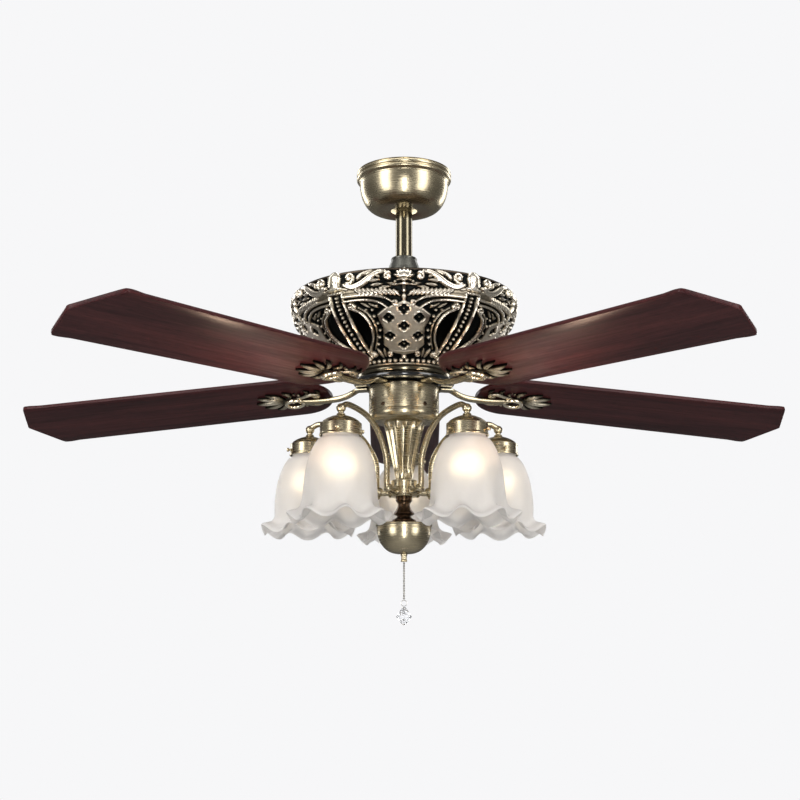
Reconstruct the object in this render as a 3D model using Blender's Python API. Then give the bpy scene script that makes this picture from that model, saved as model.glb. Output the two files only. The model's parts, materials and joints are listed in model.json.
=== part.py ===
"""A ceiling fan with five blades and a five-lamp light kit, for Blender 4.5.

Metres, +Z up. The ceiling is z = 0, the fan's axis is the Z axis, and every level below is
worked out downwards from the ceiling. Outlines of turned pieces are (radius, z) pairs that run
clockwise: out along the top, down the outer side, in along the bottom and up the inner side.
"""

import math

import bmesh
import bpy
from mathutils import Matrix, Vector

MM = 0.001

# Clearances
GAP = 0.3 * MM  # between two pieces that touch
RUNNING_GAP = 1.0 * MM  # between a turning piece and a still one
BALL_GAP = 0.4 * MM  # between the spherical faces of the hanger

# Round steps of the turned pieces
STEPS_LARGE = 24
STEPS_MEDIUM = 20
STEPS_SMALL = 12
TUBE_BEVEL_RESOLUTION = 2  # eight sides

# Hanger bracket, screwed to the ceiling
BRACKET_LENGTH = 110 * MM
BRACKET_WIDTH = 46 * MM
BRACKET_THICKNESS = 2.5 * MM
BRACKET_SLOT_SPACING = 88 * MM
BRACKET_SLOT_LENGTH = 16 * MM
BRACKET_SLOT_WIDTH = 5 * MM
WIRE_HOLE_RADIUS = 7 * MM
BRACKET_LEG_WIDTH = 18 * MM
SEAT_WALL = 2.5 * MM

# Hanger ball and its liner
BALL_RADIUS = 21 * MM
BALL_DROP = 38 * MM  # ball centre below the ceiling
LINER_WALL = 1.2 * MM
SEAT_TOP_ANGLE = math.radians(-8)
SEAT_BOTTOM_ANGLE = math.radians(-37)

# Canopy
CANOPY_HEIGHT = 64 * MM
CANOPY_RADIUS = 74.5 * MM
CANOPY_BAND = 16 * MM  # height of the beaded rim
CANOPY_FLAT_RADIUS = 34 * MM
CANOPY_HOLE_RADIUS = 20.5 * MM
CANOPY_WALL = 1.2 * MM

# Downrod and its coupling cover
ROD_RADIUS = 13 * MM
ROD_WALL = 2.6 * MM
ROD_SHOWN = 77 * MM  # from the canopy to the coupling cover
ROD_ABOVE_BALL = 18 * MM  # rod end above the ball's centre
COVER_HEIGHT = 47 * MM
COVER_TOP_RADIUS = 20.3 * MM
COVER_FOOT_RADIUS = 33 * MM
COVER_WALL = 1.4 * MM

# Motor
YOKE_RADIUS = 17 * MM
YOKE_DEPTH = 31 * MM  # how far the rod reaches into the yoke
YOKE_HEAD_SPACE = 4 * MM  # under the coupling cover's top
YOKE_FLANGE_RADIUS = 28 * MM
YOKE_FLANGE_THICKNESS = 4 * MM
SHAFT_RADIUS = 8 * MM
SHAFT_BORE_RADIUS = 5 * MM
MOTOR_TOP_SPACE = 19 * MM  # from the middle of the deck to the rotor shell
ROTOR_RADIUS = 88 * MM
ROTOR_WALL = 3 * MM
ROTOR_SIDE_HEIGHT = 76 * MM
ROTOR_TAPER_HEIGHT = 28 * MM
DRUM_RADIUS = 58 * MM
STATOR_RADIUS = 79 * MM
STATOR_HEIGHT = 12 * MM
WINDING_RADIUS = 68 * MM
WINDING_INNER_RADIUS = 42 * MM
WINDING_OVERHANG = 9 * MM
BEARING_RADIUS = 16 * MM
BEARING_HEIGHT = 7 * MM
BEARING_SEAT_WALL = 4 * MM
BEARING_FLOOR = 4 * MM
FLYWHEEL_RADIUS = 77 * MM
FLYWHEEL_THICKNESS = 7 * MM

# Motor housing: a bowl whose radius falls off as a parabola
HOUSING_RIM_RADIUS = 174 * MM
HOUSING_RIM_HEIGHT = 14 * MM
HOUSING_BOWL_HEIGHT = 112 * MM
HOUSING_LIP_HEIGHT = 3 * MM  # straight edge of the mouth below the bowl
HOUSING_MOUTH_RADIUS = 65 * MM
HOUSING_WALL = 2.5 * MM
HOUSING_EDGE_ABOVE_DECK = 1.2 * MM
DECK_FLAT_RADIUS = 38 * MM
DECK_FALL = 21 * MM
DECK_THICKNESS = 2 * MM

# Blades and irons
BLADE_COUNT = 5
FIRST_AZIMUTH = math.radians(18)
BLADE_TIP_RADIUS = 660 * MM
BLADE_ROOT_RADIUS = 120 * MM
BLADE_ROOT_CURVE = 65 * MM
BLADE_ROOT_WIDTH = 118 * MM
BLADE_TIP_WIDTH = 133 * MM
BLADE_POINT = 30 * MM  # how far the tip's middle stands out past its corners
BLADE_CORNER = 11 * MM
BLADE_THICKNESS = 6 * MM
BLADE_DROP = 1.5 * MM  # blades' underside at the axis, below the flywheel
BLADE_PITCH = math.radians(13.2)
BLADE_DROOP = math.radians(2.2)
# The two blades on the +X side are mirror images of the other three.
BLADE_HANDS = (-1, 1, 1, 1, -1)
IRON_INNER_RADIUS = 57 * MM
IRON_FOOT_THICKNESS = 4 * MM
IRON_BAR_THICKNESS = 7 * MM
IRON_LEAF_THICKNESS = 4.5 * MM
IRON_LEAF_START = 165 * MM
IRON_LEAF_LENGTH = 79 * MM
IRON_LEAF_WIDTH = 54 * MM
IRON_TWIST_START = 90 * MM

# Switch housing, fitter pan, fluted cone, arm hub
SWITCH_RADIUS = 53.5 * MM
SWITCH_HEIGHT = 40.5 * MM
SWITCH_WALL = 1.5 * MM
SHAFT_IN_SWITCH = 6 * MM
PAN_LIP = 6 * MM
PAN_HEIGHT = 17.7 * MM
PAN_WALL = 1.5 * MM
PAN_HOLE_RADIUS = 9 * MM
CONE_TOP_RADIUS = 30.9 * MM
CONE_BOTTOM_RADIUS = 12.5 * MM
CONE_HEIGHT = 85 * MM
CONE_WALL = 2 * MM
HUB_RADIUS = 20.5 * MM
HUB_HEIGHT = 26.4 * MM
HUB_BORE_RADIUS = 7 * MM
HUB_ARM_HEIGHT = 8 * MM  # arm roots above the hub's bottom
PULL_SWITCH_SIZE = (26 * MM, 20 * MM, 26 * MM)

# Neck, bowl cup, chain
NECK_HEIGHT = 38.2 * MM
NECK_FOOT_RADIUS = 18 * MM
NECK_BORE_RADIUS = 4 * MM
CUP_RADIUS = 42.3 * MM
CUP_HEIGHT = 46.2 * MM
CUP_WALL = 1.3 * MM
GUIDE_RADIUS = 5.2 * MM
GUIDE_LENGTH = 11.7 * MM
GUIDE_THREAD_RADIUS = 3.1 * MM
GUIDE_THREAD_LENGTH = 7.3 * MM
CHAIN_RADIUS = 1.6 * MM
CHAIN_INSIDE = 14 * MM  # chain above the guide's mouth at rest
CHAIN_SHOWN = 56 * MM
SPLIT_RING_RADIUS = 4.4 * MM
SPLIT_RING_WIRE = 0.65 * MM
CRYSTAL_RADIUS = 11.8 * MM
CRYSTAL_HEIGHT = 27.7 * MM

# Lamps
LAMP_COUNT = 5
LAMP_RADIUS = 154 * MM  # lamp axes from the fan's axis
ARM_RADIUS = 4.5 * MM
ARM_ELBOW_RADIUS = 43 * MM
ARM_RISE = 112 * MM  # from the hub's middle line to the arm's crest
ARM_STEM_DROP = 17.5 * MM  # from the crest to the stem's end
HOLDER_CLEARANCE = 2 * MM  # round the shade's neck, for the holder's screws
HOLDER_HEIGHT = 31 * MM
HOLDER_DOME_HEIGHT = 12.5 * MM
HOLDER_WALL = 1.2 * MM
HOLDER_LIP = 1 * MM
HOLDER_WIRE_HOLE = 1.5 * MM  # its radius
SOCKET_RADIUS = 17 * MM
SOCKET_HEIGHT = 32 * MM
SOCKET_NIPPLE_RADIUS = 5.5 * MM
SOCKET_NIPPLE_HEIGHT = 6 * MM
SOCKET_HEAD_SPACE = 2 * MM  # under the holder's top
SOCKET_FLOOR = 2 * MM  # over the bulb, below the nipple
BULB_BASE_RADIUS = 13 * MM
BULB_BASE_HEIGHT = 25 * MM
BULB_RADIUS = 24 * MM
BULB_LENGTH = 87 * MM
GLASS_WALL = 2.4 * MM
SHADE_NECK_RADIUS = 26.8 * MM
SHADE_NECK_HEIGHT = 17 * MM
SHADE_NECK_SHOWN = 2 * MM  # below the holder's edge
SHADE_BODY_RADIUS = 53 * MM
SHADE_BODY_HEIGHT = 88 * MM
SHADE_SHOULDER_SHARE = 0.3  # of the body's height, where its shoulder ends
SHADE_SHOULDER_SWELL = 0.68  # of the way from neck to body radius there
SHADE_RIM_RADIUS = 71 * MM
SHADE_FLARE_HEIGHT = 27 * MM
SHADE_LOBES = 8
SHADE_LOBE_DEPTH = 9 * MM  # how far the rim waves up and down
SHADE_LOBE_SPREAD = 5 * MM  # how far the rim waves in and out

# Levels, from the ceiling down
BALL_Z = -BALL_DROP
CANOPY_TOP = -0.5 * MM
CANOPY_BOTTOM = -CANOPY_HEIGHT
ROD_TOP = BALL_Z + ROD_ABOVE_BALL
COVER_TOP = CANOPY_BOTTOM - ROD_SHOWN
COVER_BOTTOM = COVER_TOP - COVER_HEIGHT
YOKE_TOP = COVER_TOP - COVER_WALL - YOKE_HEAD_SPACE
ROD_BOTTOM = YOKE_TOP - YOKE_DEPTH
YOKE_BOTTOM = COVER_BOTTOM
DECK_TOP = YOKE_BOTTOM - GAP
ROTOR_TOP = DECK_TOP - DECK_THICKNESS - MOTOR_TOP_SPACE
HOUSING_TOP = DECK_TOP - DECK_FALL + HOUSING_EDGE_ABOVE_DECK
HOUSING_BOWL_TOP = HOUSING_TOP - HOUSING_RIM_HEIGHT
HOUSING_BOTTOM = HOUSING_BOWL_TOP - HOUSING_BOWL_HEIGHT - HOUSING_LIP_HEIGHT
FLYWHEEL_TOP = HOUSING_BOTTOM - RUNNING_GAP
FLYWHEEL_BOTTOM = FLYWHEEL_TOP - FLYWHEEL_THICKNESS
ROTOR_BOTTOM = FLYWHEEL_TOP + GAP
BLADE_Z = FLYWHEEL_BOTTOM - BLADE_DROP
SWITCH_TOP = FLYWHEEL_BOTTOM - RUNNING_GAP
SWITCH_BOTTOM = SWITCH_TOP - SWITCH_HEIGHT
SHAFT_BOTTOM = SWITCH_TOP - SHAFT_IN_SWITCH
PAN_TOP = SWITCH_BOTTOM - GAP
PAN_BOTTOM = PAN_TOP - PAN_HEIGHT
CONE_TOP = PAN_BOTTOM - GAP
CONE_BOTTOM = CONE_TOP - CONE_HEIGHT
HUB_TOP = CONE_BOTTOM - GAP
HUB_BOTTOM = HUB_TOP - HUB_HEIGHT
ARM_Z = HUB_BOTTOM + HUB_ARM_HEIGHT
NECK_TOP = HUB_BOTTOM - GAP
NECK_BOTTOM = NECK_TOP - NECK_HEIGHT
CUP_TOP = NECK_BOTTOM - GAP
CUP_BOTTOM = CUP_TOP - CUP_HEIGHT
GUIDE_TOP = CUP_BOTTOM - GAP
GUIDE_MOUTH = GUIDE_TOP - GUIDE_LENGTH
CHAIN_END = GUIDE_MOUTH - CHAIN_SHOWN
SPLIT_RING_Z = CHAIN_END - GAP - SPLIT_RING_WIRE - SPLIT_RING_RADIUS
PENDANT_PIVOT_Z = SPLIT_RING_Z + SPLIT_RING_RADIUS
CRYSTAL_TOP = SPLIT_RING_Z - SPLIT_RING_RADIUS - SPLIT_RING_WIRE - GAP
STEM_END = ARM_Z + ARM_RISE - ARM_STEM_DROP
HOLDER_RADIUS = SHADE_NECK_RADIUS + HOLDER_CLEARANCE + HOLDER_WALL
HOLDER_TOP = STEM_END - GAP
HOLDER_BOTTOM = HOLDER_TOP - HOLDER_HEIGHT
SOCKET_TOP = HOLDER_TOP - HOLDER_WALL - SOCKET_HEAD_SPACE
BULB_TOP = SOCKET_TOP - SOCKET_NIPPLE_HEIGHT - SOCKET_FLOOR
SHADE_TOP = HOLDER_BOTTOM + SHADE_NECK_HEIGHT - SHADE_NECK_SHOWN
SHADE_NECK_BOTTOM = SHADE_TOP - SHADE_NECK_HEIGHT


# Scene helpers


def clear_scene():
    for old in list(bpy.data.objects):
        bpy.data.objects.remove(old)


def make_finish(name, colour, metallic, roughness, transmission=0.0):
    finish = bpy.data.materials.new(name)
    finish.use_nodes = True
    shader = finish.node_tree.nodes["Principled BSDF"]
    shader.inputs["Base Color"].default_value = (*colour, 1)
    shader.inputs["Metallic"].default_value = metallic
    shader.inputs["Roughness"].default_value = roughness
    shader.inputs["Transmission Weight"].default_value = transmission
    finish.diffuse_color = (*colour, 1)
    return finish


def make_pivot(name, z, parent=None):
    """An empty on a joint's axis, which the moving pieces hang on."""
    pivot = bpy.data.objects.new(name, None)
    pivot.empty_display_size = 20 * MM
    pivot.matrix_world = Matrix.Translation((0, 0, z))
    bpy.context.collection.objects.link(pivot)
    hang_on(pivot, parent)
    return pivot


def hang_on(obj, parent):
    if parent:
        bpy.context.view_layer.update()
        obj.parent = parent
        obj.matrix_parent_inverse = parent.matrix_world.inverted()


def add_object(name, data, finish, parent=None, place=None):
    obj = bpy.data.objects.new(name, data)
    bpy.context.collection.objects.link(obj)
    if finish:
        data.materials.append(finish)
    if place:
        obj.matrix_world = place
    hang_on(obj, parent)
    return obj


def mesh_of(name, points, edges=(), faces=()):
    mesh = bpy.data.meshes.new(name)
    mesh.from_pydata([tuple(point) for point in points], edges, faces)
    mesh.update()
    return mesh


def turned(name, outline, finish, parent=None, place=None, steps=STEPS_MEDIUM, smooth=True):
    """An outline turned about Z. One that starts and ends on the axis stays open there."""
    on_axis = outline[0][0] == 0 and outline[-1][0] == 0
    edges = [(i, i + 1) for i in range(len(outline) - 1)]
    if not on_axis:
        edges.append((len(outline) - 1, 0))
    mesh = mesh_of(name, [(radius, 0, z) for radius, z in outline], edges)
    obj = add_object(name, mesh, finish, parent, place)
    screw = obj.modifiers.new("Turn", "SCREW")
    screw.steps = steps
    screw.render_steps = steps
    screw.use_merge_vertices = True
    screw.merge_threshold = 0.00005
    screw.use_smooth_shade = smooth
    return obj


def box_mesh(name, size, centre):
    shape = bmesh.new()
    bmesh.ops.create_cube(shape, size=1)
    bmesh.ops.scale(shape, vec=size, verts=shape.verts)
    bmesh.ops.translate(shape, vec=centre, verts=shape.verts)
    mesh = bpy.data.meshes.new(name)
    shape.to_mesh(mesh)
    shape.free()
    return mesh


def prism_mesh(name, outline, bottom, top):
    """A flat outline, anticlockwise from above, given a thickness."""
    shape = bmesh.new()
    lower = shape.faces.new([shape.verts.new((x, y, bottom)) for x, y in outline])
    lower.normal_flip()
    sides = bmesh.ops.extrude_face_region(shape, geom=[lower], use_keep_orig=True)
    raised = [item for item in sides["geom"] if isinstance(item, bmesh.types.BMVert)]
    bmesh.ops.translate(shape, vec=(0, 0, top - bottom), verts=raised)
    bmesh.ops.recalc_face_normals(shape, faces=shape.faces)
    mesh = bpy.data.meshes.new(name)
    shape.to_mesh(mesh)
    shape.free()
    return mesh


def combine(obj, other, operation):
    """Joins or cuts with a helper, which stays out of the model itself."""
    other.hide_render = True
    other.display_type = "WIRE"
    step = obj.modifiers.new(other.name, "BOOLEAN")
    step.operation = operation
    step.object = other


def ring_faces(rings, count):
    """Faces between closed rings of points, the last ring joined back to the first."""
    faces = []
    for i in range(rings):
        following = (i + 1) % rings
        for j in range(count):
            k = (j + 1) % count
            faces.append((i * count + j, following * count + j, following * count + k, i * count + k))
    return faces


def shade_round(obj, angle=35):
    obj.data.shade_smooth()
    obj.data.set_sharp_from_angle(angle=math.radians(angle))


# Outline helpers


def arc(radius, centre_z, start, end, count):
    """Points on a sphere's outline about the axis, from one elevation to another."""
    angles = [start + (end - start) * i / (count - 1) for i in range(count)]
    return [(radius * math.cos(a), centre_z + radius * math.sin(a)) for a in angles]


def quarter(outer_radius, top, inner_radius, bottom, count):
    """A quarter ellipse that starts straight down and ends straight in."""
    points = []
    for i in range(count):
        angle = math.pi / 2 * i / (count - 1)
        points.append(
            (
                inner_radius + (outer_radius - inner_radius) * math.cos(angle),
                top + (bottom - top) * math.sin(angle),
            )
        )
    return points


def tube_outline(outer, inner, top, bottom):
    return [(outer, top), (outer, bottom), (inner, bottom), (inner, top)]


def smooth_route(points, steps):
    """A smooth curve through the points, with an even number of steps between each two."""
    ends = [points[0] * 2 - points[1]] + points + [points[-1] * 2 - points[-2]]
    route = []
    for before, start, end, after in zip(ends, ends[1:], ends[2:], ends[3:]):
        for i in range(steps):
            t = i / steps
            route.append(
                0.5
                * (
                    2 * start
                    + (end - before) * t
                    + (2 * before - 5 * start + 4 * end - after) * t**2
                    + (3 * start - before - 3 * end + after) * t**3
                )
            )
    return route + [points[-1]]


def tube(name, route, radius, finish, parent=None, place=None):
    """A round tube along a route."""
    curve = bpy.data.curves.new(name, "CURVE")
    curve.dimensions = "3D"
    curve.bevel_depth = radius
    curve.bevel_resolution = TUBE_BEVEL_RESOLUTION
    curve.use_fill_caps = True
    spline = curve.splines.new("POLY")
    spline.points.add(len(route) - 1)
    for point, at in zip(spline.points, route):
        point.co = (*at, 1)
    return add_object(name, curve, finish, parent, place)


# Hanger


def make_bracket(finish):
    plate = add_object(
        "hanger_bracket",
        box_mesh(
            "hanger_bracket",
            (BRACKET_LENGTH, BRACKET_WIDTH, BRACKET_THICKNESS),
            (0, 0, -BRACKET_THICKNESS / 2),
        ),
        finish,
    )
    seat_inner = BALL_RADIUS + LINER_WALL + 2 * BALL_GAP
    leg_x = seat_inner + SEAT_WALL + 8 * MM
    flange_top = BALL_Z + seat_inner * math.sin(SEAT_TOP_ANGLE)
    seat = arc(seat_inner, BALL_Z, SEAT_BOTTOM_ANGLE, SEAT_TOP_ANGLE, 4)
    flange_bottom = flange_top - 2 * SEAT_WALL
    outline = [
        (leg_x + SEAT_WALL / 2, flange_top),
        (leg_x + SEAT_WALL / 2, flange_bottom),
        (seat_inner + SEAT_WALL, flange_bottom),
        (seat[0][0] + SEAT_WALL, seat[0][1]),
    ] + seat
    ring = turned("bracket_seat", outline, None, steps=STEPS_LARGE)
    slot_width = 2 * (ROD_RADIUS + 1.5 * MM)
    mouth = add_object(
        "bracket_mouth",
        box_mesh("bracket_mouth", (slot_width, 2 * leg_x, 4 * BALL_RADIUS), (0, -leg_x, BALL_Z)),
        None,
    )
    combine(ring, mouth, "DIFFERENCE")
    combine(plate, ring, "UNION")
    for side in (-1, 1):
        height = -flange_bottom - BRACKET_THICKNESS / 2 - SEAT_WALL / 2
        leg = add_object(
            f"bracket_leg_{side}",
            box_mesh(
                "bracket_leg",
                (SEAT_WALL, BRACKET_LEG_WIDTH, height),
                (side * leg_x, 0, -BRACKET_THICKNESS / 2 - height / 2),
            ),
            None,
        )
        combine(plate, leg, "UNION")
        slot = add_object(
            f"bracket_slot_{side}",
            box_mesh(
                "bracket_slot",
                (BRACKET_SLOT_LENGTH, BRACKET_SLOT_WIDTH, 4 * BRACKET_THICKNESS),
                (side * BRACKET_SLOT_SPACING / 2, 0, 0),
            ),
            None,
        )
        combine(plate, slot, "DIFFERENCE")
    hole = turned(
        "bracket_wire_hole",
        [
            (0, BRACKET_THICKNESS),
            (WIRE_HOLE_RADIUS, BRACKET_THICKNESS),
            (WIRE_HOLE_RADIUS, -2 * BRACKET_THICKNESS),
            (0, -2 * BRACKET_THICKNESS),
        ],
        None,
        place=Matrix.Translation((0, BRACKET_WIDTH / 2 - WIRE_HOLE_RADIUS - 2 * MM, 0)),
        steps=STEPS_SMALL,
    )
    combine(plate, hole, "DIFFERENCE")
    return plate


def make_canopy(finish):
    band_bottom = CANOPY_TOP - CANOPY_BAND
    bead = CANOPY_BAND / 2
    bowl_radius = CANOPY_RADIUS - 4.7 * MM
    outer = [
        (CANOPY_RADIUS - 1 * MM, CANOPY_TOP),
        (CANOPY_RADIUS, CANOPY_TOP - bead / 2),
        (CANOPY_RADIUS - 1.7 * MM, CANOPY_TOP - bead),
        (CANOPY_RADIUS, band_bottom + bead / 2),
    ]
    outer += quarter(bowl_radius, band_bottom - 1 * MM, CANOPY_FLAT_RADIUS, CANOPY_BOTTOM, 5)
    outer.append((CANOPY_HOLE_RADIUS, CANOPY_BOTTOM))
    inner_radius = bowl_radius - CANOPY_WALL
    inner = quarter(
        inner_radius,
        band_bottom - 1 * MM,
        CANOPY_FLAT_RADIUS,
        CANOPY_BOTTOM + CANOPY_WALL,
        5,
    )
    inner = [(inner_radius, CANOPY_TOP)] + inner + [(CANOPY_HOLE_RADIUS, CANOPY_BOTTOM + CANOPY_WALL)]
    return turned("canopy", outer + inner[::-1], finish, steps=STEPS_LARGE)


def make_hanger(finishes, liner_pivot, ball_pivot):
    liner_inner = BALL_RADIUS + BALL_GAP
    liner_outer = liner_inner + LINER_WALL
    outline = arc(liner_outer, BALL_Z, SEAT_TOP_ANGLE, SEAT_BOTTOM_ANGLE, 4)
    outline += arc(liner_inner, BALL_Z, SEAT_BOTTOM_ANGLE, SEAT_TOP_ANGLE, 4)
    turned("ball_liner", outline, finishes["rubber"], liner_pivot, steps=STEPS_LARGE)

    bore = ROD_RADIUS + GAP
    top_angle = math.acos(bore / BALL_RADIUS)
    outline = arc(BALL_RADIUS, BALL_Z, top_angle, -top_angle, 8)
    turned("hanger_ball", outline, finishes["plastic"], ball_pivot, steps=STEPS_LARGE)

    outline = tube_outline(ROD_RADIUS, ROD_RADIUS - ROD_WALL, ROD_TOP, ROD_BOTTOM)
    turned("downrod", outline, finishes["brass"], ball_pivot)


def make_coupling_cover(finish, parent):
    inner_top = COVER_TOP_RADIUS - COVER_WALL
    outline = [
        (ROD_RADIUS + GAP, COVER_TOP),
        (COVER_TOP_RADIUS - 0.6 * MM, COVER_TOP),
        (COVER_TOP_RADIUS, COVER_TOP - 0.6 * MM),
        (COVER_FOOT_RADIUS, COVER_BOTTOM),
        (COVER_FOOT_RADIUS - COVER_WALL, COVER_BOTTOM),
        (inner_top, COVER_TOP - COVER_WALL),
        (ROD_RADIUS + GAP, COVER_TOP - COVER_WALL),
    ]
    turned("coupling_cover", outline, finish, parent)


# Motor


def make_motor(finishes, ball_pivot, rotor_pivot):
    rod_bore = ROD_RADIUS + GAP
    yoke_floor = ROD_BOTTOM - GAP
    outline = [
        (YOKE_RADIUS, YOKE_TOP),
        (YOKE_RADIUS, YOKE_BOTTOM + YOKE_FLANGE_THICKNESS),
        (YOKE_FLANGE_RADIUS, YOKE_BOTTOM + YOKE_FLANGE_THICKNESS),
        (YOKE_FLANGE_RADIUS, YOKE_BOTTOM),
        (SHAFT_RADIUS, YOKE_BOTTOM),
        (SHAFT_RADIUS, SHAFT_BOTTOM),
        (SHAFT_BORE_RADIUS, SHAFT_BOTTOM),
        (SHAFT_BORE_RADIUS, yoke_floor),
        (rod_bore, yoke_floor),
        (rod_bore, YOKE_TOP),
    ]
    turned("motor_shaft", outline, finishes["steel"], ball_pivot)

    shaft_hole = SHAFT_RADIUS + GAP
    side_bottom = ROTOR_TOP - ROTOR_SIDE_HEIGHT
    taper_bottom = side_bottom - ROTOR_TAPER_HEIGHT
    middle = (ROTOR_TOP + side_bottom) / 2
    winding_half = STATOR_HEIGHT / 2 + WINDING_OVERHANG
    core_half = STATOR_HEIGHT / 2
    upper_half = [
        (shaft_hole, core_half),
        (WINDING_INNER_RADIUS, core_half),
        (WINDING_INNER_RADIUS, winding_half),
        (WINDING_RADIUS, winding_half),
        (WINDING_RADIUS, core_half),
        (STATOR_RADIUS, core_half),
    ]
    outline = [(radius, middle + z) for radius, z in upper_half]
    outline += [(radius, middle - z) for radius, z in reversed(upper_half)]
    turned("stator", outline, finishes["copper"], ball_pivot)

    inner = ROTOR_RADIUS - ROTOR_WALL
    drum_inner = DRUM_RADIUS - ROTOR_WALL
    seat = BEARING_RADIUS + GAP
    boss = seat + BEARING_SEAT_WALL
    floor_hole = SHAFT_RADIUS + 2 * MM
    upper_floor = ROTOR_TOP - BEARING_FLOOR
    seat_depth = BEARING_HEIGHT + 2 * GAP
    outline = [
        (floor_hole, ROTOR_TOP),
        (ROTOR_RADIUS - 4 * MM, ROTOR_TOP),
        (ROTOR_RADIUS, ROTOR_TOP - 4 * MM),
        (ROTOR_RADIUS, side_bottom),
        (DRUM_RADIUS, taper_bottom),
        (DRUM_RADIUS, ROTOR_BOTTOM),
        (drum_inner, ROTOR_BOTTOM),
        (drum_inner, taper_bottom + 1 * MM),
        (inner, side_bottom + 1 * MM),
        (inner, ROTOR_TOP - ROTOR_WALL),
        (boss, ROTOR_TOP - ROTOR_WALL),
        (boss, upper_floor - seat_depth),
        (seat, upper_floor - seat_depth),
        (seat, upper_floor),
        (floor_hole, upper_floor),
    ]
    turned("rotor_shell", outline, finishes["black"], rotor_pivot, steps=STEPS_LARGE)

    lower_floor = FLYWHEEL_BOTTOM + BEARING_FLOOR
    boss_top = lower_floor + seat_depth
    outline = [
        (seat, boss_top),
        (boss, boss_top),
        (boss, FLYWHEEL_TOP),
        (FLYWHEEL_RADIUS - 1 * MM, FLYWHEEL_TOP),
        (FLYWHEEL_RADIUS, FLYWHEEL_TOP - 1 * MM),
        (FLYWHEEL_RADIUS, FLYWHEEL_BOTTOM + 1 * MM),
        (FLYWHEEL_RADIUS - 1 * MM, FLYWHEEL_BOTTOM),
        (floor_hole, FLYWHEEL_BOTTOM),
        (floor_hole, lower_floor),
        (seat, lower_floor),
    ]
    turned("flywheel", outline, finishes["black"], rotor_pivot, steps=STEPS_LARGE)

    for name, floor, direction in (
        ("upper_bearing", upper_floor, -1),
        ("lower_bearing", lower_floor, 1),
    ):
        near = floor + direction * GAP
        far = near + direction * BEARING_HEIGHT
        outline = tube_outline(BEARING_RADIUS, shaft_hole, max(near, far), min(near, far))
        turned(name, outline, finishes["steel"], rotor_pivot)


def housing_radius(z):
    """The outer radius of the housing's bowl at a level."""
    depth = min(max((HOUSING_BOWL_TOP - z) / HOUSING_BOWL_HEIGHT, 0), 1)
    return HOUSING_MOUTH_RADIUS + (HOUSING_RIM_RADIUS - HOUSING_MOUTH_RADIUS) * (1 - depth**2)


def make_housing(finishes, parent):
    levels = [HOUSING_BOWL_TOP - HOUSING_BOWL_HEIGHT * i / 5 for i in range(6)]
    outer = [(HOUSING_RIM_RADIUS, HOUSING_TOP)]
    outer += [(housing_radius(z), z) for z in levels]
    mouth = HOUSING_MOUTH_RADIUS - 2 * HOUSING_WALL
    outer.append((HOUSING_MOUTH_RADIUS, HOUSING_BOTTOM))
    inner = [(mouth, HOUSING_BOTTOM)]
    inner += [(housing_radius(z) - HOUSING_WALL, z + HOUSING_WALL) for z in levels[4:1:-1]]
    inner += [(housing_radius(z) - HOUSING_WALL, z) for z in levels[1::-1]]
    inner.append((HOUSING_RIM_RADIUS - HOUSING_WALL, HOUSING_TOP))
    turned("motor_housing", outer + inner, finishes["bronze"], parent, steps=STEPS_LARGE)

    shaft_hole = SHAFT_RADIUS + GAP
    edge = HOUSING_RIM_RADIUS - HOUSING_WALL - GAP
    edge_top = DECK_TOP - DECK_FALL
    outline = [
        (shaft_hole, DECK_TOP),
        (DECK_FLAT_RADIUS, DECK_TOP),
        (edge, edge_top),
        (edge, edge_top - DECK_THICKNESS),
        (DECK_FLAT_RADIUS, DECK_TOP - DECK_THICKNESS),
        (shaft_hole, DECK_TOP - DECK_THICKNESS),
    ]
    turned("housing_deck", outline, finishes["bronze"], parent, steps=STEPS_LARGE)


# Blades


def blade_outline():
    """The blade from its rounded root to its shallow pointed tip, seen from above."""
    corner_x = BLADE_TIP_RADIUS - BLADE_POINT
    half_root = BLADE_ROOT_WIDTH / 2
    half_tip = BLADE_TIP_WIDTH / 2
    side = []
    for i in range(1, 8):
        angle = math.pi / 2 * i / 7
        x = BLADE_ROOT_RADIUS + BLADE_ROOT_CURVE * (1 - math.cos(angle))
        side.append((x, half_root * math.sin(angle)))
    side.append((corner_x - BLADE_CORNER, half_tip))
    side.append((corner_x - 0.2 * BLADE_CORNER, half_tip - 0.12 * BLADE_CORNER))
    slope = BLADE_POINT / half_tip
    side.append((corner_x + slope * BLADE_CORNER, half_tip - BLADE_CORNER))
    side.append((BLADE_TIP_RADIUS - 0.4 * slope * BLADE_CORNER, 0.8 * BLADE_CORNER))
    mirrored = [(x, -y) for x, y in side]
    return [(BLADE_ROOT_RADIUS, 0)] + mirrored + [(BLADE_TIP_RADIUS, 0)] + side[::-1]


def blade_place(azimuth, hand):
    """Blade frame: x out along the blade, y anticlockwise, z up, its underside at z = 0."""
    return (
        Matrix.Rotation(azimuth, 4, "Z")
        @ Matrix.Translation((0, 0, BLADE_Z))
        @ Matrix.Rotation(BLADE_DROOP, 4, "Y")
        @ Matrix.Rotation(hand * BLADE_PITCH, 4, "X")
    )


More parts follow.
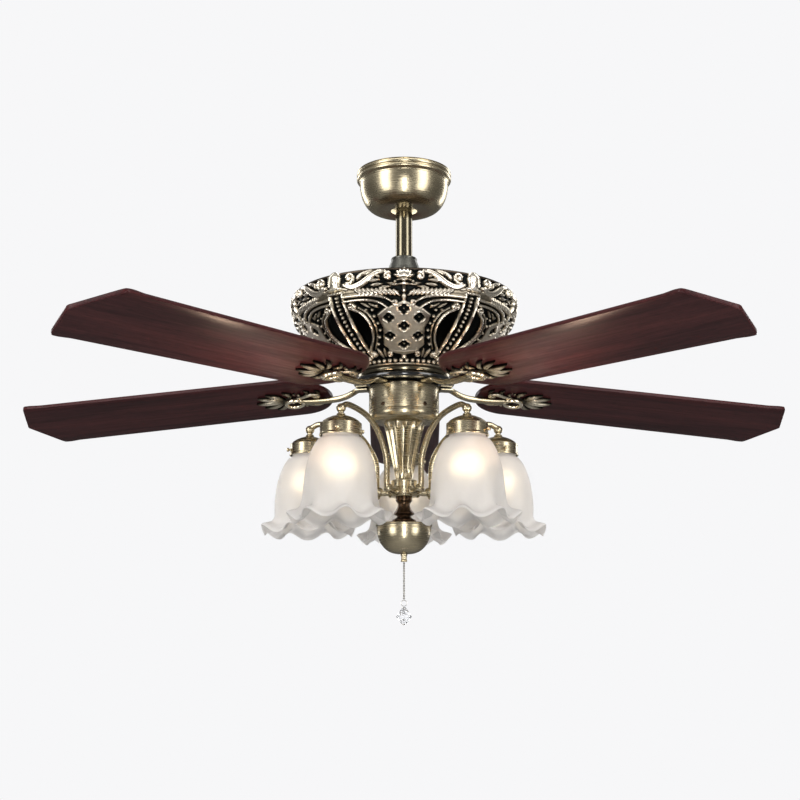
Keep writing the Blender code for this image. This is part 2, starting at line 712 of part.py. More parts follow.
def iron_sections():
    """(radius, half width, top below the blade plane, thickness) from foot to leaf tip."""
    foot_top = BLADE_Z - (FLYWHEEL_BOTTOM - GAP)
    foot_end = FLYWHEEL_RADIUS
    bar = IRON_BAR_THICKNESS
    leaf = IRON_LEAF_THICKNESS
    fall = math.tan(BLADE_DROOP)
    sections = [
        (IRON_INNER_RADIUS, 11 * MM, foot_top - fall * IRON_INNER_RADIUS, IRON_FOOT_THICKNESS),
        (foot_end, 11 * MM, foot_top - fall * foot_end, IRON_FOOT_THICKNESS),
        (foot_end + 7 * MM, 8 * MM, -1.5 * MM, bar - 1 * MM),
        (foot_end + 20 * MM, 6.5 * MM, 2.5 * MM, bar),
        (BLADE_ROOT_RADIUS - 6 * MM, 6 * MM, 3.8 * MM, bar),
        (BLADE_ROOT_RADIUS + 14 * MM, 6 * MM, 3.2 * MM, bar),
        (IRON_LEAF_START - 12 * MM, 6.5 * MM, 2 * MM, bar - 1 * MM),
    ]
    half = IRON_LEAF_WIDTH / 2
    shape = ((0, 0.45), (0.14, 0.58), (0.29, 0.42), (0.42, 0.85), (0.54, 1), (0.64, 0.78))
    shape += ((0.74, 0.9), (0.83, 0.55), (0.91, 0.6), (1, 0.18))
    for share, width in shape:
        radius = IRON_LEAF_START + share * IRON_LEAF_LENGTH
        sections.append((radius, half * width, 0.5 * MM, leaf))
    return sections


def make_iron(name, azimuth, hand, finish, parent):
    points = []
    sections = iron_sections()
    for radius, half_width, top, thickness in sections:
        turn = min(max((radius - IRON_TWIST_START) / (BLADE_ROOT_RADIUS - IRON_TWIST_START), 0), 1)
        roll = Matrix.Rotation(hand * turn * BLADE_PITCH, 4, "X")
        plane = -radius * math.tan(BLADE_DROOP)
        for side, depth in ((1, top), (-1, top), (-1, top + thickness), (1, top + thickness)):
            corner = roll @ Vector((0, side * half_width, -depth))
            points.append((radius, corner.y, plane + corner.z))
    count = len(sections)
    faces = ring_faces(count, 4)[: 4 * (count - 1)]
    faces.append((3, 2, 1, 0))
    last = 4 * (count - 1)
    faces.append((last, last + 1, last + 2, last + 3))
    mesh = mesh_of(name, points, (), faces)
    turn_outward(mesh)
    place = Matrix.Rotation(azimuth, 4, "Z") @ Matrix.Translation((0, 0, BLADE_Z))
    add_object(name, mesh, finish, parent, place)


def turn_outward(mesh):
    shape = bmesh.new()
    shape.from_mesh(mesh)
    bmesh.ops.recalc_face_normals(shape, faces=shape.faces)
    if shape.calc_volume(signed=True) < 0:
        bmesh.ops.reverse_faces(shape, faces=shape.faces)
    shape.to_mesh(mesh)
    shape.free()


def make_blades(finishes, parent):
    for number in range(BLADE_COUNT):
        azimuth = FIRST_AZIMUTH + 2 * math.pi * number / BLADE_COUNT
        hand = BLADE_HANDS[number]
        make_iron(f"blade_iron_{number + 1}", azimuth, hand, finishes["brass"], parent)
        name = f"blade_{number + 1}"
        mesh = prism_mesh(name, blade_outline(), 0, BLADE_THICKNESS)
        add_object(name, mesh, finishes["mahogany"], parent, blade_place(azimuth, hand))


# Middle of the light kit


def make_switch_housing(finishes, parent):
    shaft_hole = SHAFT_RADIUS + GAP
    inner = SWITCH_RADIUS - SWITCH_WALL
    outline = [
        (shaft_hole, SWITCH_TOP),
        (SWITCH_RADIUS - 1.5 * MM, SWITCH_TOP),
        (SWITCH_RADIUS, SWITCH_TOP - 1.5 * MM),
        (SWITCH_RADIUS, SWITCH_BOTTOM),
        (inner, SWITCH_BOTTOM),
        (inner, SWITCH_TOP - SWITCH_WALL - 0.5 * MM),
        (shaft_hole, SWITCH_TOP - SWITCH_WALL),
    ]
    turned("switch_housing", outline, finishes["brass"], parent, steps=STEPS_LARGE)

    spigot = inner - GAP
    spigot_inner = spigot - PAN_WALL
    shoulder = PAN_TOP - 3 * MM
    outline = [(spigot_inner, PAN_TOP + PAN_LIP), (spigot, PAN_TOP + PAN_LIP), (spigot, PAN_TOP)]
    outline.append((SWITCH_RADIUS, PAN_TOP))
    outline += quarter(SWITCH_RADIUS, shoulder, CONE_TOP_RADIUS, PAN_BOTTOM, 4)
    outline += [(PAN_HOLE_RADIUS, PAN_BOTTOM), (PAN_HOLE_RADIUS, PAN_BOTTOM + PAN_WALL)]
    inside = quarter(spigot_inner, shoulder, CONE_TOP_RADIUS, PAN_BOTTOM + PAN_WALL, 4)
    outline += inside[::-1]
    turned("fitter_pan", outline, finishes["brass"], parent, steps=STEPS_LARGE)

    width, depth, height = PULL_SWITCH_SIZE
    top = SHAFT_BOTTOM - 2 * MM
    body = box_mesh("pull_switch", PULL_SWITCH_SIZE, (0, 0, top - height / 2))
    switch = add_object("pull_switch", body, finishes["plastic"], parent)
    edges = switch.modifiers.new("Edges", "BEVEL")
    edges.width = min(width, depth, height) * 0.08
    edges.segments = 1


def make_cone_and_hub(finishes, parent):
    outline = [
        (CONE_TOP_RADIUS, CONE_TOP),
        (CONE_BOTTOM_RADIUS, CONE_BOTTOM),
        (CONE_BOTTOM_RADIUS - CONE_WALL, CONE_BOTTOM),
        (CONE_TOP_RADIUS - CONE_WALL, CONE_TOP),
    ]
    turned("fluted_cone", outline, finishes["brass"], parent)
    outline = [
        (HUB_BORE_RADIUS, HUB_TOP),
        (HUB_RADIUS - 2 * MM, HUB_TOP),
        (HUB_RADIUS, HUB_TOP - 2 * MM),
        (HUB_RADIUS, HUB_BOTTOM + 2 * MM),
        (HUB_RADIUS - 2 * MM, HUB_BOTTOM),
        (HUB_BORE_RADIUS, HUB_BOTTOM),
    ]
    turned("arm_hub", outline, finishes["brass"], parent)


def make_finial(finishes, parent):
    foot = NECK_FOOT_RADIUS
    outline = [
        (NECK_BORE_RADIUS, NECK_TOP),
        (12.5 * MM, NECK_TOP),
        (12.5 * MM, NECK_TOP - 6 * MM),
        (10.5 * MM, NECK_TOP - 9 * MM),
        (11.5 * MM, NECK_TOP - 18 * MM),
        (15.6 * MM, NECK_TOP - 24.5 * MM),
        (10.5 * MM, NECK_TOP - 28.5 * MM),
        (foot, NECK_BOTTOM + 2.5 * MM),
        (foot, NECK_BOTTOM),
        (NECK_BORE_RADIUS, NECK_BOTTOM),
    ]
    turned("neck_spool", outline, finishes["dark_brass"], parent)

    rim_z = CUP_TOP - 3 * MM
    hole = GUIDE_THREAD_RADIUS + GAP
    outer = quarter(CUP_RADIUS, rim_z - 2 * MM, 2 * GUIDE_RADIUS, CUP_BOTTOM, 5)
    inner = quarter(
        CUP_RADIUS - CUP_WALL, rim_z - 2 * MM, 2 * GUIDE_RADIUS, CUP_BOTTOM + CUP_WALL, 5
    )
    outline = [(NECK_BORE_RADIUS, CUP_TOP), (foot, CUP_TOP), (CUP_RADIUS, rim_z)]
    outline += outer + [(hole, CUP_BOTTOM), (hole, CUP_BOTTOM + CUP_WALL)] + inner[::-1]
    outline += [
        (CUP_RADIUS - CUP_WALL, rim_z - CUP_WALL),
        (foot, CUP_TOP - CUP_WALL),
        (NECK_BORE_RADIUS, CUP_TOP - CUP_WALL),
    ]
    turned("bowl_cup", outline, finishes["brass"], parent, steps=STEPS_LARGE)

    bore = CHAIN_RADIUS + GAP
    outline = [
        (GUIDE_THREAD_RADIUS, GUIDE_TOP + GUIDE_THREAD_LENGTH),
        (GUIDE_THREAD_RADIUS, GUIDE_TOP),
        (GUIDE_RADIUS, GUIDE_TOP),
        (GUIDE_RADIUS, GUIDE_MOUTH + 1 * MM),
        (GUIDE_RADIUS - 0.6 * MM, GUIDE_MOUTH),
        (bore, GUIDE_MOUTH),
        (bore, GUIDE_TOP + GUIDE_THREAD_LENGTH),
    ]
    turned("chain_guide", outline, finishes["brass"], parent, steps=STEPS_SMALL)


def make_chain(finishes, chain_pivot, pendant_pivot):
    top = Vector((0, 0, GUIDE_MOUTH + CHAIN_INSIDE))
    end = Vector((0, 0, CHAIN_END))
    count = round((CHAIN_SHOWN + CHAIN_INSIDE) / (5 * CHAIN_RADIUS))
    route = [top.lerp(end, i / count) for i in range(count + 1)]
    tube("pull_chain", route, CHAIN_RADIUS, finishes["steel"], chain_pivot)

    points = []
    sides = 6
    around = 16
    for i in range(around):
        turn = 2 * math.pi * i / around
        for j in range(sides):
            angle = 2 * math.pi * j / sides
            radius = SPLIT_RING_RADIUS + SPLIT_RING_WIRE * math.cos(angle)
            y = SPLIT_RING_WIRE * math.sin(angle)
            points.append((radius * math.cos(turn), y, SPLIT_RING_Z + radius * math.sin(turn)))
    mesh = mesh_of("chain_ring", points, (), ring_faces(around, sides))
    turn_outward(mesh)
    shade_round(add_object("chain_ring", mesh, finishes["steel"], pendant_pivot), 60)

    widest = CRYSTAL_TOP - 0.52 * CRYSTAL_HEIGHT
    outline = [
        (0, CRYSTAL_TOP),
        (0.22 * CRYSTAL_RADIUS, CRYSTAL_TOP),
        (CRYSTAL_RADIUS, widest),
        (0.5 * CRYSTAL_RADIUS, widest - 0.3 * CRYSTAL_HEIGHT),
        (0, CRYSTAL_TOP - CRYSTAL_HEIGHT),
    ]
    turned("crystal_drop", outline, finishes["crystal"], pendant_pivot, steps=8, smooth=False)


# Lamps


def arm_route():
    """From the hub out, round the elbow, up and over the crest, and down the stem."""
    crest = ARM_Z + ARM_RISE
    elbow = ARM_ELBOW_RADIUS
    reach = LAMP_RADIUS - elbow
    points = [
        (HUB_RADIUS + GAP, ARM_Z),
        (HUB_RADIUS + 4 * MM, ARM_Z),
        (elbow - 8 * MM, ARM_Z),
        (elbow, ARM_Z + 6 * MM),
        (elbow + 1 * MM, ARM_Z + 0.37 * ARM_RISE),
        (elbow + 0.08 * reach, ARM_Z + 0.56 * ARM_RISE),
        (elbow + 0.24 * reach, ARM_Z + 0.78 * ARM_RISE),
        (elbow + 0.48 * reach, ARM_Z + 0.93 * ARM_RISE),
        (elbow + 0.83 * reach, crest),
        (LAMP_RADIUS - 3 * MM, crest - 4.5 * MM),
        (LAMP_RADIUS, crest - 10 * MM),
        (LAMP_RADIUS, STEM_END),
    ]
    return smooth_route([Vector((radius, 0, z)) for radius, z in points], 2)


def holder_outline():
    band_top = HOLDER_TOP - HOLDER_DOME_HEIGHT
    lip_top = HOLDER_BOTTOM + 2 * MM
    inner = HOLDER_RADIUS - HOLDER_WALL
    dome = [(0.2, 0), (0.74, -0.48)]
    outer = [(HOLDER_RADIUS * share, HOLDER_TOP + drop * HOLDER_DOME_HEIGHT) for share, drop in dome]
    outer += [
        (HOLDER_RADIUS, band_top),
        (HOLDER_RADIUS, lip_top),
        (HOLDER_RADIUS + HOLDER_LIP, lip_top),
        (HOLDER_RADIUS + HOLDER_LIP, HOLDER_BOTTOM),
    ]
    inside = [(inner, HOLDER_BOTTOM), (inner, band_top - HOLDER_WALL)]
    for share, drop in dome[:0:-1]:
        z = HOLDER_TOP + drop * HOLDER_DOME_HEIGHT - HOLDER_WALL
        inside.append((inner * share, z))
    inside.append((HOLDER_WIRE_HOLE, HOLDER_TOP - HOLDER_WALL))
    return [(HOLDER_WIRE_HOLE, HOLDER_TOP)] + outer + inside


def socket_outline():
    """A cup for the bulb's base, hung from a nipple. Its floor is closed."""
    bottom = SOCKET_TOP - SOCKET_HEIGHT
    bore = BULB_BASE_RADIUS + GAP
    floor = BULB_TOP + GAP
    shoulder = SOCKET_TOP - SOCKET_NIPPLE_HEIGHT
    return [
        (0, SOCKET_TOP),
        (SOCKET_NIPPLE_RADIUS, SOCKET_TOP),
        (SOCKET_NIPPLE_RADIUS, shoulder),
        (SOCKET_RADIUS - 2 * MM, shoulder),
        (SOCKET_RADIUS, shoulder - 2 * MM),
        (SOCKET_RADIUS, bottom),
        (bore, bottom),
        (bore, floor),
        (0, floor),
    ]


def bulb_outline():
    base_bottom = BULB_TOP - BULB_BASE_HEIGHT
    globe_z = BULB_TOP - BULB_LENGTH + BULB_RADIUS
    return [
        (0, BULB_TOP),
        (0.4 * BULB_BASE_RADIUS, BULB_TOP),
        (BULB_BASE_RADIUS, BULB_TOP - 3.5 * MM),
        (BULB_BASE_RADIUS, base_bottom),
        (1.3 * BULB_BASE_RADIUS, (base_bottom + globe_z) / 2 + 4 * MM),
    ] + arc(BULB_RADIUS, globe_z, math.radians(20), math.radians(-55), 3) + [(0, globe_z - BULB_RADIUS)]


def shade_profile(inset):
    """(radius, z, wave) down the shade's wall, set in by a wall's share. Wave is 1 at the rim."""
    neck = SHADE_NECK_RADIUS - inset
    body = SHADE_BODY_RADIUS - inset
    rim = SHADE_RIM_RADIUS - 0.3 * inset
    body_bottom = SHADE_NECK_BOTTOM - SHADE_BODY_HEIGHT
    shoulder = neck + SHADE_SHOULDER_SWELL * (body - neck)
    return [
        (neck, SHADE_TOP, 0),
        (neck, SHADE_NECK_BOTTOM, 0),
        (shoulder, SHADE_NECK_BOTTOM - SHADE_SHOULDER_SHARE * SHADE_BODY_HEIGHT, 0),
        (body, body_bottom, 0),
        (rim, body_bottom - SHADE_FLARE_HEIGHT + 0.7 * inset, 1),
    ]


def make_shade(name, finish, parent, place):
    around = 2 * SHADE_LOBES
    walls = shade_profile(0) + shade_profile(GLASS_WALL)[::-1]
    points = []
    for radius, z, wave in walls:
        for j in range(around):
            angle = 2 * math.pi * j / around
            lobe = math.cos(SHADE_LOBES * angle)
            r = radius + wave * SHADE_LOBE_SPREAD * lobe
            points.append((r * math.cos(angle), r * math.sin(angle), z + wave * SHADE_LOBE_DEPTH * lobe))
    mesh = mesh_of(name, points, (), ring_faces(len(walls), around))
    turn_outward(mesh)
    shade_round(add_object(name, mesh, finish, parent, place), 50)


def make_lamps(finishes, parent):
    for number in range(LAMP_COUNT):
        azimuth = FIRST_AZIMUTH + 2 * math.pi * number / LAMP_COUNT
        turn = Matrix.Rotation(azimuth, 4, "Z")
        place = turn @ Matrix.Translation((LAMP_RADIUS, 0, 0))
        label = number + 1
        tube(f"light_arm_{label}", arm_route(), ARM_RADIUS, finishes["brass"], parent, turn)
        steps = STEPS_SMALL
        turned(f"shade_holder_{label}", holder_outline(), finishes["brass"], parent, place, steps)
        turned(f"lamp_socket_{label}", socket_outline(), finishes["plastic"], parent, place, steps)
        turned(f"bulb_{label}", bulb_outline(), finishes["bulb"], parent, place, steps)
        make_shade(f"glass_shade_{label}", finishes["glass"], parent, place)


def main():
    clear_scene()
    finishes = {
        "brass": make_finish("antique_brass", (0.32, 0.25, 0.14), 1.0, 0.32),
        "dark_brass": make_finish("dark_brass", (0.09, 0.06, 0.035), 1.0, 0.35),
        "bronze": make_finish("antique_bronze", (0.2, 0.15, 0.1), 1.0, 0.4),
        "pewter": make_finish("pewter", (0.16, 0.16, 0.15), 1.0, 0.4),
        "black": make_finish("black_enamel", (0.012, 0.014, 0.013), 0.3, 0.3),
        "steel": make_finish("steel", (0.45, 0.45, 0.44), 1.0, 0.35),
        "copper": make_finish("copper_winding", (0.5, 0.2, 0.08), 1.0, 0.45),
        "plastic": make_finish("white_plastic", (0.72, 0.7, 0.66), 0.0, 0.5),
        "rubber": make_finish("rubber", (0.02, 0.02, 0.02), 0.0, 0.8),
        "mahogany": make_finish("mahogany", (0.045, 0.014, 0.015), 0.0, 0.3),
        "glass": make_finish("frosted_glass", (0.85, 0.84, 0.83), 0.0, 0.55),
        "bulb": make_finish("bulb_glass", (0.95, 0.9, 0.8), 0.0, 0.3),
        "crystal": make_finish("crystal", (0.95, 0.96, 0.97), 0.0, 0.02, 1.0),
    }
    liner_pivot = make_pivot("liner_pivot", BALL_Z)
    ball_pivot = make_pivot("ball_pivot", BALL_Z, liner_pivot)
    rotor_pivot = make_pivot("rotor_pivot", BLADE_Z, ball_pivot)
    chain_pivot = make_pivot("chain_pivot", GUIDE_MOUTH, ball_pivot)
    pendant_pivot = make_pivot("pendant_pivot", PENDANT_PIVOT_Z, chain_pivot)

    make_bracket(finishes["steel"])
    make_canopy(finishes["brass"])
    make_hanger(finishes, liner_pivot, ball_pivot)
    make_coupling_cover(finishes["pewter"], ball_pivot)
    make_motor(finishes, ball_pivot, rotor_pivot)
    make_housing(finishes, ball_pivot)
    make_blades(finishes, rotor_pivot)
    make_switch_housing(finishes, ball_pivot)
    make_cone_and_hub(finishes, ball_pivot)
    make_finial(finishes, ball_pivot)
    make_chain(finishes, chain_pivot, pendant_pivot)
    make_lamps(finishes, ball_pivot)


main()
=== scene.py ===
"""The visible ceiling fan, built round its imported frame. Metres, +Z up, z = 0 at the ceiling."""

import json
import math

import bmesh
import bpy
import numpy as np
from mathutils import Matrix, Vector


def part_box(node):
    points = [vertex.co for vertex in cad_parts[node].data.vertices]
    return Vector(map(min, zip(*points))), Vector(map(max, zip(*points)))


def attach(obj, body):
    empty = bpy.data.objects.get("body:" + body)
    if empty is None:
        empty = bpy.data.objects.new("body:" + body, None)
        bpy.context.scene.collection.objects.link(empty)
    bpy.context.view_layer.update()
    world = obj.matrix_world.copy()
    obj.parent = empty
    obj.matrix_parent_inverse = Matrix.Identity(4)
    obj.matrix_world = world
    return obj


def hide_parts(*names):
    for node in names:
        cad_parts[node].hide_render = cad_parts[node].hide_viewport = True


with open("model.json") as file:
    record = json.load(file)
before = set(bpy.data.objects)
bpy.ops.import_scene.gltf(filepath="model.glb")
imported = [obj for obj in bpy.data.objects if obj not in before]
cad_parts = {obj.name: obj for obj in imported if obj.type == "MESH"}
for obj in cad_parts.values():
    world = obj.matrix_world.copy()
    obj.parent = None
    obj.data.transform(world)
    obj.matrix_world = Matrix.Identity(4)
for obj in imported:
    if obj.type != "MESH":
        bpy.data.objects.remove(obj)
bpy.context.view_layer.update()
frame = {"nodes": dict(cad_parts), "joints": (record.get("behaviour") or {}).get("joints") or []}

MM = 0.001
UPRIGHT = Matrix.Identity(4)

# ---------------------------------------------------------------- places read from the frame


def top(node):
    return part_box(node)[1][2]


def bottom(node):
    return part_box(node)[0][2]


def reach(node):
    """The largest radius of a node that is turned about the fan's axis."""
    lo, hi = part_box(node)
    return max(abs(lo[0]), abs(hi[0]), abs(lo[1]), abs(hi[1]))


def joint(name):
    return next(j for j in frame["joints"] if j["name"] == name)


def middle(node):
    lo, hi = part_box(node)
    return (Vector(lo) + Vector(hi)) / 2


FIRST_AZIMUTH = math.radians(18)
ARMS = range(5)
# The two blades on the +X side are mirror images of the other three.
HANDS = (-1, 1, 1, 1, -1)
BLADE_PITCH = math.radians(13.2)
BLADE_DROOP = math.radians(2.2)
BLADE_Z = joint("rotor_spin")["pos_m"][2]
LAMP_RADIUS = middle("lamp_socket_2").xy.length


def azimuth(number):
    return FIRST_AZIMUTH + 2 * math.pi * number / 5


# ---------------------------------------------------------------- node materials


def set_stops(ramp, stops):
    """Fills a colour ramp with stops of a place and a colour or a grey level."""
    while len(ramp.elements) < len(stops):
        ramp.elements.new(0.5)
    for element, (place, colour) in zip(ramp.elements, stops):
        element.position = place
        if not isinstance(colour, tuple):
            colour = (colour, colour, colour)
        element.color = (*colour, 1)


class Paint:
    """A node material under construction."""

    def __init__(self, name, **settings):
        self.material = bpy.data.materials.new(name)
        self.material.use_nodes = True
        self.tree = self.material.node_tree
        self.shader = self.tree.nodes["Principled BSDF"]
        for socket, value in settings.items():
            self.set(socket.replace("_", " "), value)

    def set(self, socket, value):
        if isinstance(value, tuple) and len(value) == 3:
            value = (*value, 1)
        self.shader.inputs[socket].default_value = value

    def node(self, kind, links=None, **settings):
        node = self.tree.nodes.new(kind)
        for key, value in settings.items():
            if hasattr(node, key):
                setattr(node, key, value)
            else:
                node.inputs[key.replace("_", " ")].default_value = value
        for socket, source in (links or {}).items():
            self.link(source, node.inputs[socket])
        return node

    def link(self, source, target):
        if isinstance(source, bpy.types.Node):
            source = source.outputs[0]
        if isinstance(target, str):
            target = self.shader.inputs[target]
        self.tree.links.new(source, target)

    def ramp(self, source, stops):
        node = self.node("ShaderNodeValToRGB", {"Fac": source})
        set_stops(node.color_ramp, stops)
        return node

    def place(self, scale):
        """Object-space coordinates, stretched."""
        source = self.node("ShaderNodeTexCoord").outputs["Object"]
        return self.node("ShaderNodeMapping", {"Vector": source}, Scale=scale)

    def noise(self, scale, detail=4.0, rough=0.55, stretch=(1, 1, 1)):
        where = self.place(stretch)
        return self.node(
            "ShaderNodeTexNoise", {"Vector": where}, Scale=scale, Detail=detail, Roughness=rough
        ).outputs["Fac"]

    def mix(self, share, first, second, blend="MIX"):
        node = self.tree.nodes.new("ShaderNodeMix")
        node.data_type = "RGBA"
        node.blend_type = blend
        for socket, value in (("Factor", share), ("A", first), ("B", second)):
            target = next(s for s in node.inputs if s.name == socket and s.enabled)
            if isinstance(value, (int, float)):
                target.default_value = value
            elif isinstance(value, tuple):
                target.default_value = (*value, 1)
            else:
                self.link(value, target)
        return next(s for s in node.outputs if s.enabled)

    def math(self, operation, first, second):
        node = self.node("ShaderNodeMath", operation=operation)
        for target, value in zip(node.inputs, (first, second)):
            if isinstance(value, (int, float)):
                target.default_value = value
            else:
                self.link(value, target)
        return node.outputs[0]

    def bump(self, height, strength, distance):
        node = self.node(
            "ShaderNodeBump", {"Height": height}, Strength=strength, Distance=distance
        )
        self.link(node, "Normal")


def brushed_metal(name, dark, light, roughness, grain=(14, 14, 700)):
    """Plated metal with fine turned lines and a faint uneven patina."""
    paint = Paint(name, Metallic=1.0)
    cloud = paint.noise(11, 3)
    lines = paint.noise(1, 4, 0.6, grain)
    tone = paint.ramp(cloud, [(0.3, dark), (0.7, light)])
    streak = paint.ramp(lines, [(0.3, 0.94), (0.7, 1.0)])
    paint.link(paint.mix(1.0, tone.outputs[0], streak.outputs[0], "MULTIPLY"), "Base Color")
    paint.link(paint.ramp(lines, [(0.25, roughness * 0.95), (0.8, roughness * 1.06)]), "Roughness")
    return paint.material


def cast_metal_with_painted_light(name, hollow_patina_and_shade, body, crest):
    """Antiqued casting coloured by height: dark patina with painted shade in the hollows, rubbed wear with
    painted highlight on the crests.
    """
    paint = Paint(name, Metallic=1.0)
    height = paint.node("ShaderNodeAttribute", attribute_name="relief").outputs["Fac"]
    spots = paint.math("SUBTRACT", paint.noise(140, 5, 0.65), 0.5)
    level = paint.math("ADD", height, paint.math("MULTIPLY", spots, 0.22))
    # Painted shade: the lowest levels go near black. Painted highlight: the highest levels go pale.
    tone = paint.ramp(level, [(0.28, hollow_patina_and_shade), (0.48, body), (0.82, crest)])
    tint = paint.ramp(paint.noise(9, 2), [(0.35, (1.0, 0.96, 0.92)), (0.65, (1.0, 0.98, 0.88))])
    paint.link(paint.mix(0.6, tone.outputs[0], tint.outputs[0], "MULTIPLY"), "Base Color")
    paint.link(paint.ramp(level, [(0.2, 0.4), (0.5, 0.33), (0.9, 0.24)]), "Roughness")
    paint.bump(paint.noise(420, 3), 0.05, 0.0003)
    return paint.material


def painted(name, colour, roughness, metallic=0.0, coat=0.0):
    """Enamel, rubber or moulded plastic with a faint orange-peel surface."""
    paint = Paint(name, Metallic=metallic)
    cloud = paint.noise(55, 4)
    darker = tuple(c * 0.82 for c in colour)
    lighter = tuple(c * 1.12 for c in colour)
    paint.link(paint.ramp(cloud, [(0.3, darker), (0.7, lighter)]), "Base Color")
    rough = paint.ramp(paint.noise(300, 2), [(0.3, roughness * 0.9), (0.7, roughness * 1.12)])
    paint.link(rough, "Roughness")
    paint.set("Coat Weight", coat)
    paint.set("Coat Roughness", 0.15)
    paint.bump(paint.noise(700, 2), 0.08, 0.0003)
    return paint.material


def mahogany(name):
    """Dark red stained wood with its grain along the object's X axis, under satin lacquer."""
    paint = Paint(name, Coat_Weight=0.02, Coat_Roughness=0.3, Specular_IOR_Level=0.13)
    fibre = paint.noise(1, 6, 0.62, (9, 210, 210))
    band = paint.noise(1, 3, 0.5, (2.6, 34, 34))
    pores = paint.noise(1, 2, 0.5, (60, 900, 900))
    dark, mid, red = (0.012, 0.0038, 0.004), (0.046, 0.012, 0.013), (0.092, 0.025, 0.024)
    wide = paint.ramp(band, [(0.3, dark), (0.5, mid), (0.72, red)])
    fine = paint.ramp(fibre, [(0.3, dark), (0.55, mid), (0.75, red)])
    wood = paint.mix(0.5, wide.outputs[0], fine.outputs[0])
    pore = paint.ramp(pores, [(0.38, 0.35), (0.5, 1.0)])
    paint.link(paint.mix(0.6, wood, pore.outputs[0], "MULTIPLY"), "Base Color")
    paint.link(paint.ramp(fibre, [(0.3, 0.42), (0.7, 0.28)]), "Roughness")
    paint.bump(pores, 0.06, 0.0003)
    return paint.material


def frosted_glass(name):
    """White satin-etched glass with faint cloudy streaks."""
    paint = Paint(name, Transmission_Weight=0.5, IOR=1.25)
    cloud = paint.noise(30, 4, 0.6, (1, 1, 0.35))
    white = paint.ramp(cloud, [(0.3, (0.76, 0.735, 0.71)), (0.7, (0.83, 0.81, 0.785))])
    paint.link(white, "Base Color")
    paint.link(paint.ramp(paint.noise(90, 3), [(0.3, 0.52), (0.7, 0.64)]), "Roughness")
    paint.bump(paint.noise(1200, 2), 0.06, 0.0002)
    return paint.material


def glowing_bulb(name, low, high):
    """A frosted bulb, brightest round the filament between two heights."""
    paint = Paint(name, Base_Color=(1.0, 0.95, 0.88), Roughness=0.4)
    place = paint.node("ShaderNodeTexCoord").outputs["Object"]
    height = paint.node("ShaderNodeSeparateXYZ", {"Vector": place}).outputs["Z"]
    share = paint.node("ShaderNodeMapRange", {"Value": height})
    for socket, value in (("From Min", low), ("From Max", high)):
        share.inputs[socket].default_value = value
    faint, full, last = (0.08, 0.055, 0.03), (1.0, 0.80, 0.48), (0.03, 0.02, 0.01)
    glow = paint.ramp(share, [(0.0, faint), (0.38, full), (0.58, full), (1.0, last)])
    paint.link(glow, "Emission Color")
    paint.set("Emission Strength", 4.3)
    return paint.material


def crystal(name):
    paint = Paint(name, Base_Color=(0.97, 0.98, 1.0), Transmission_Weight=0.92, IOR=1.46)
    paint.link(paint.ramp(paint.noise(200, 2), [(0.3, 0.0), (0.7, 0.03)]), "Roughness")
    return paint.material


def copper_winding(name):
    paint = Paint(name, Metallic=1.0)
    turns = paint.noise(1, 2, 0.5, (260, 260, 30))
    paint.link(paint.ramp(turns, [(0.35, (0.22, 0.06, 0.02)), (0.6, (0.62, 0.24, 0.1))]), "Base Color")
    paint.link(paint.ramp(turns, [(0.3, 0.5), (0.7, 0.3)]), "Roughness")
    paint.bump(turns, 0.3, 0.0006)
    return paint.material


FINISH = {
    "brass": brushed_metal("antique_brass", (0.44, 0.375, 0.25), (0.58, 0.50, 0.34), 0.27),
    "rod_brass": brushed_metal("rod_brass", (0.19, 0.165, 0.112), (0.255, 0.22, 0.15), 0.18),
    "dark_brass": brushed_metal("dark_brass", (0.05, 0.03, 0.018), (0.12, 0.075, 0.045), 0.24),
    # The two cast finishes add painted shade to their dark patina and painted highlight to their worn crests.
    "bronze": cast_metal_with_painted_light("cast_bronze", (0.006, 0.007, 0.007), (0.28, 0.243, 0.185), (0.86, 0.80, 0.70)),
    "leaf": cast_metal_with_painted_light("cast_leaf", (0.008, 0.007, 0.006), (0.10, 0.088, 0.065), (0.86, 0.79, 0.65)),
    "plain_bronze": brushed_metal("plain_bronze", (0.05, 0.036, 0.027), (0.12, 0.09, 0.066), 0.42),
    "pewter": brushed_metal("pewter", (0.10, 0.098, 0.085), (0.15, 0.147, 0.13), 0.36),
    "steel": brushed_metal("zinc_steel", (0.40, 0.40, 0.39), (0.58, 0.58, 0.56), 0.36),
    "chain": brushed_metal("bead_steel", (0.30, 0.285, 0.26), (0.48, 0.46, 0.42), 0.2),
    "black": painted("black_enamel", (0.008, 0.009, 0.009), 0.12, 0.3, coat=1.0),
    "plastic": painted("white_plastic", (0.74, 0.72, 0.67), 0.45),
    "rubber": painted("rubber", (0.018, 0.018, 0.018), 0.75),
    "copper": copper_winding("copper_winding"),
    "wood": mahogany("mahogany"),
    "glass": frosted_glass("frosted_glass"),
    "bulb": glowing_bulb("bulb_glass", bottom("bulb_2"), bottom("bulb_2") + 48 * MM),
    "crystal": crystal("crystal"),
}

# ---------------------------------------------------------------- mesh helpers


def add_piece(name, mesh, finish, body, stands_for=(), place=UPRIGHT, sharp=32):
    """A finished piece in its place, riding on a body and standing for CAD nodes."""
    piece = bpy.data.objects.new(name, mesh)
    bpy.context.scene.collection.objects.link(piece)
    piece.matrix_world = place
    mesh.materials.append(FINISH[finish])
    mesh.shade_smooth()
    mesh.set_sharp_from_angle(angle=math.radians(sharp))
    bpy.context.view_layer.update()
    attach(piece, body)
    if stands_for:
        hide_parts(*stands_for)
    return piece


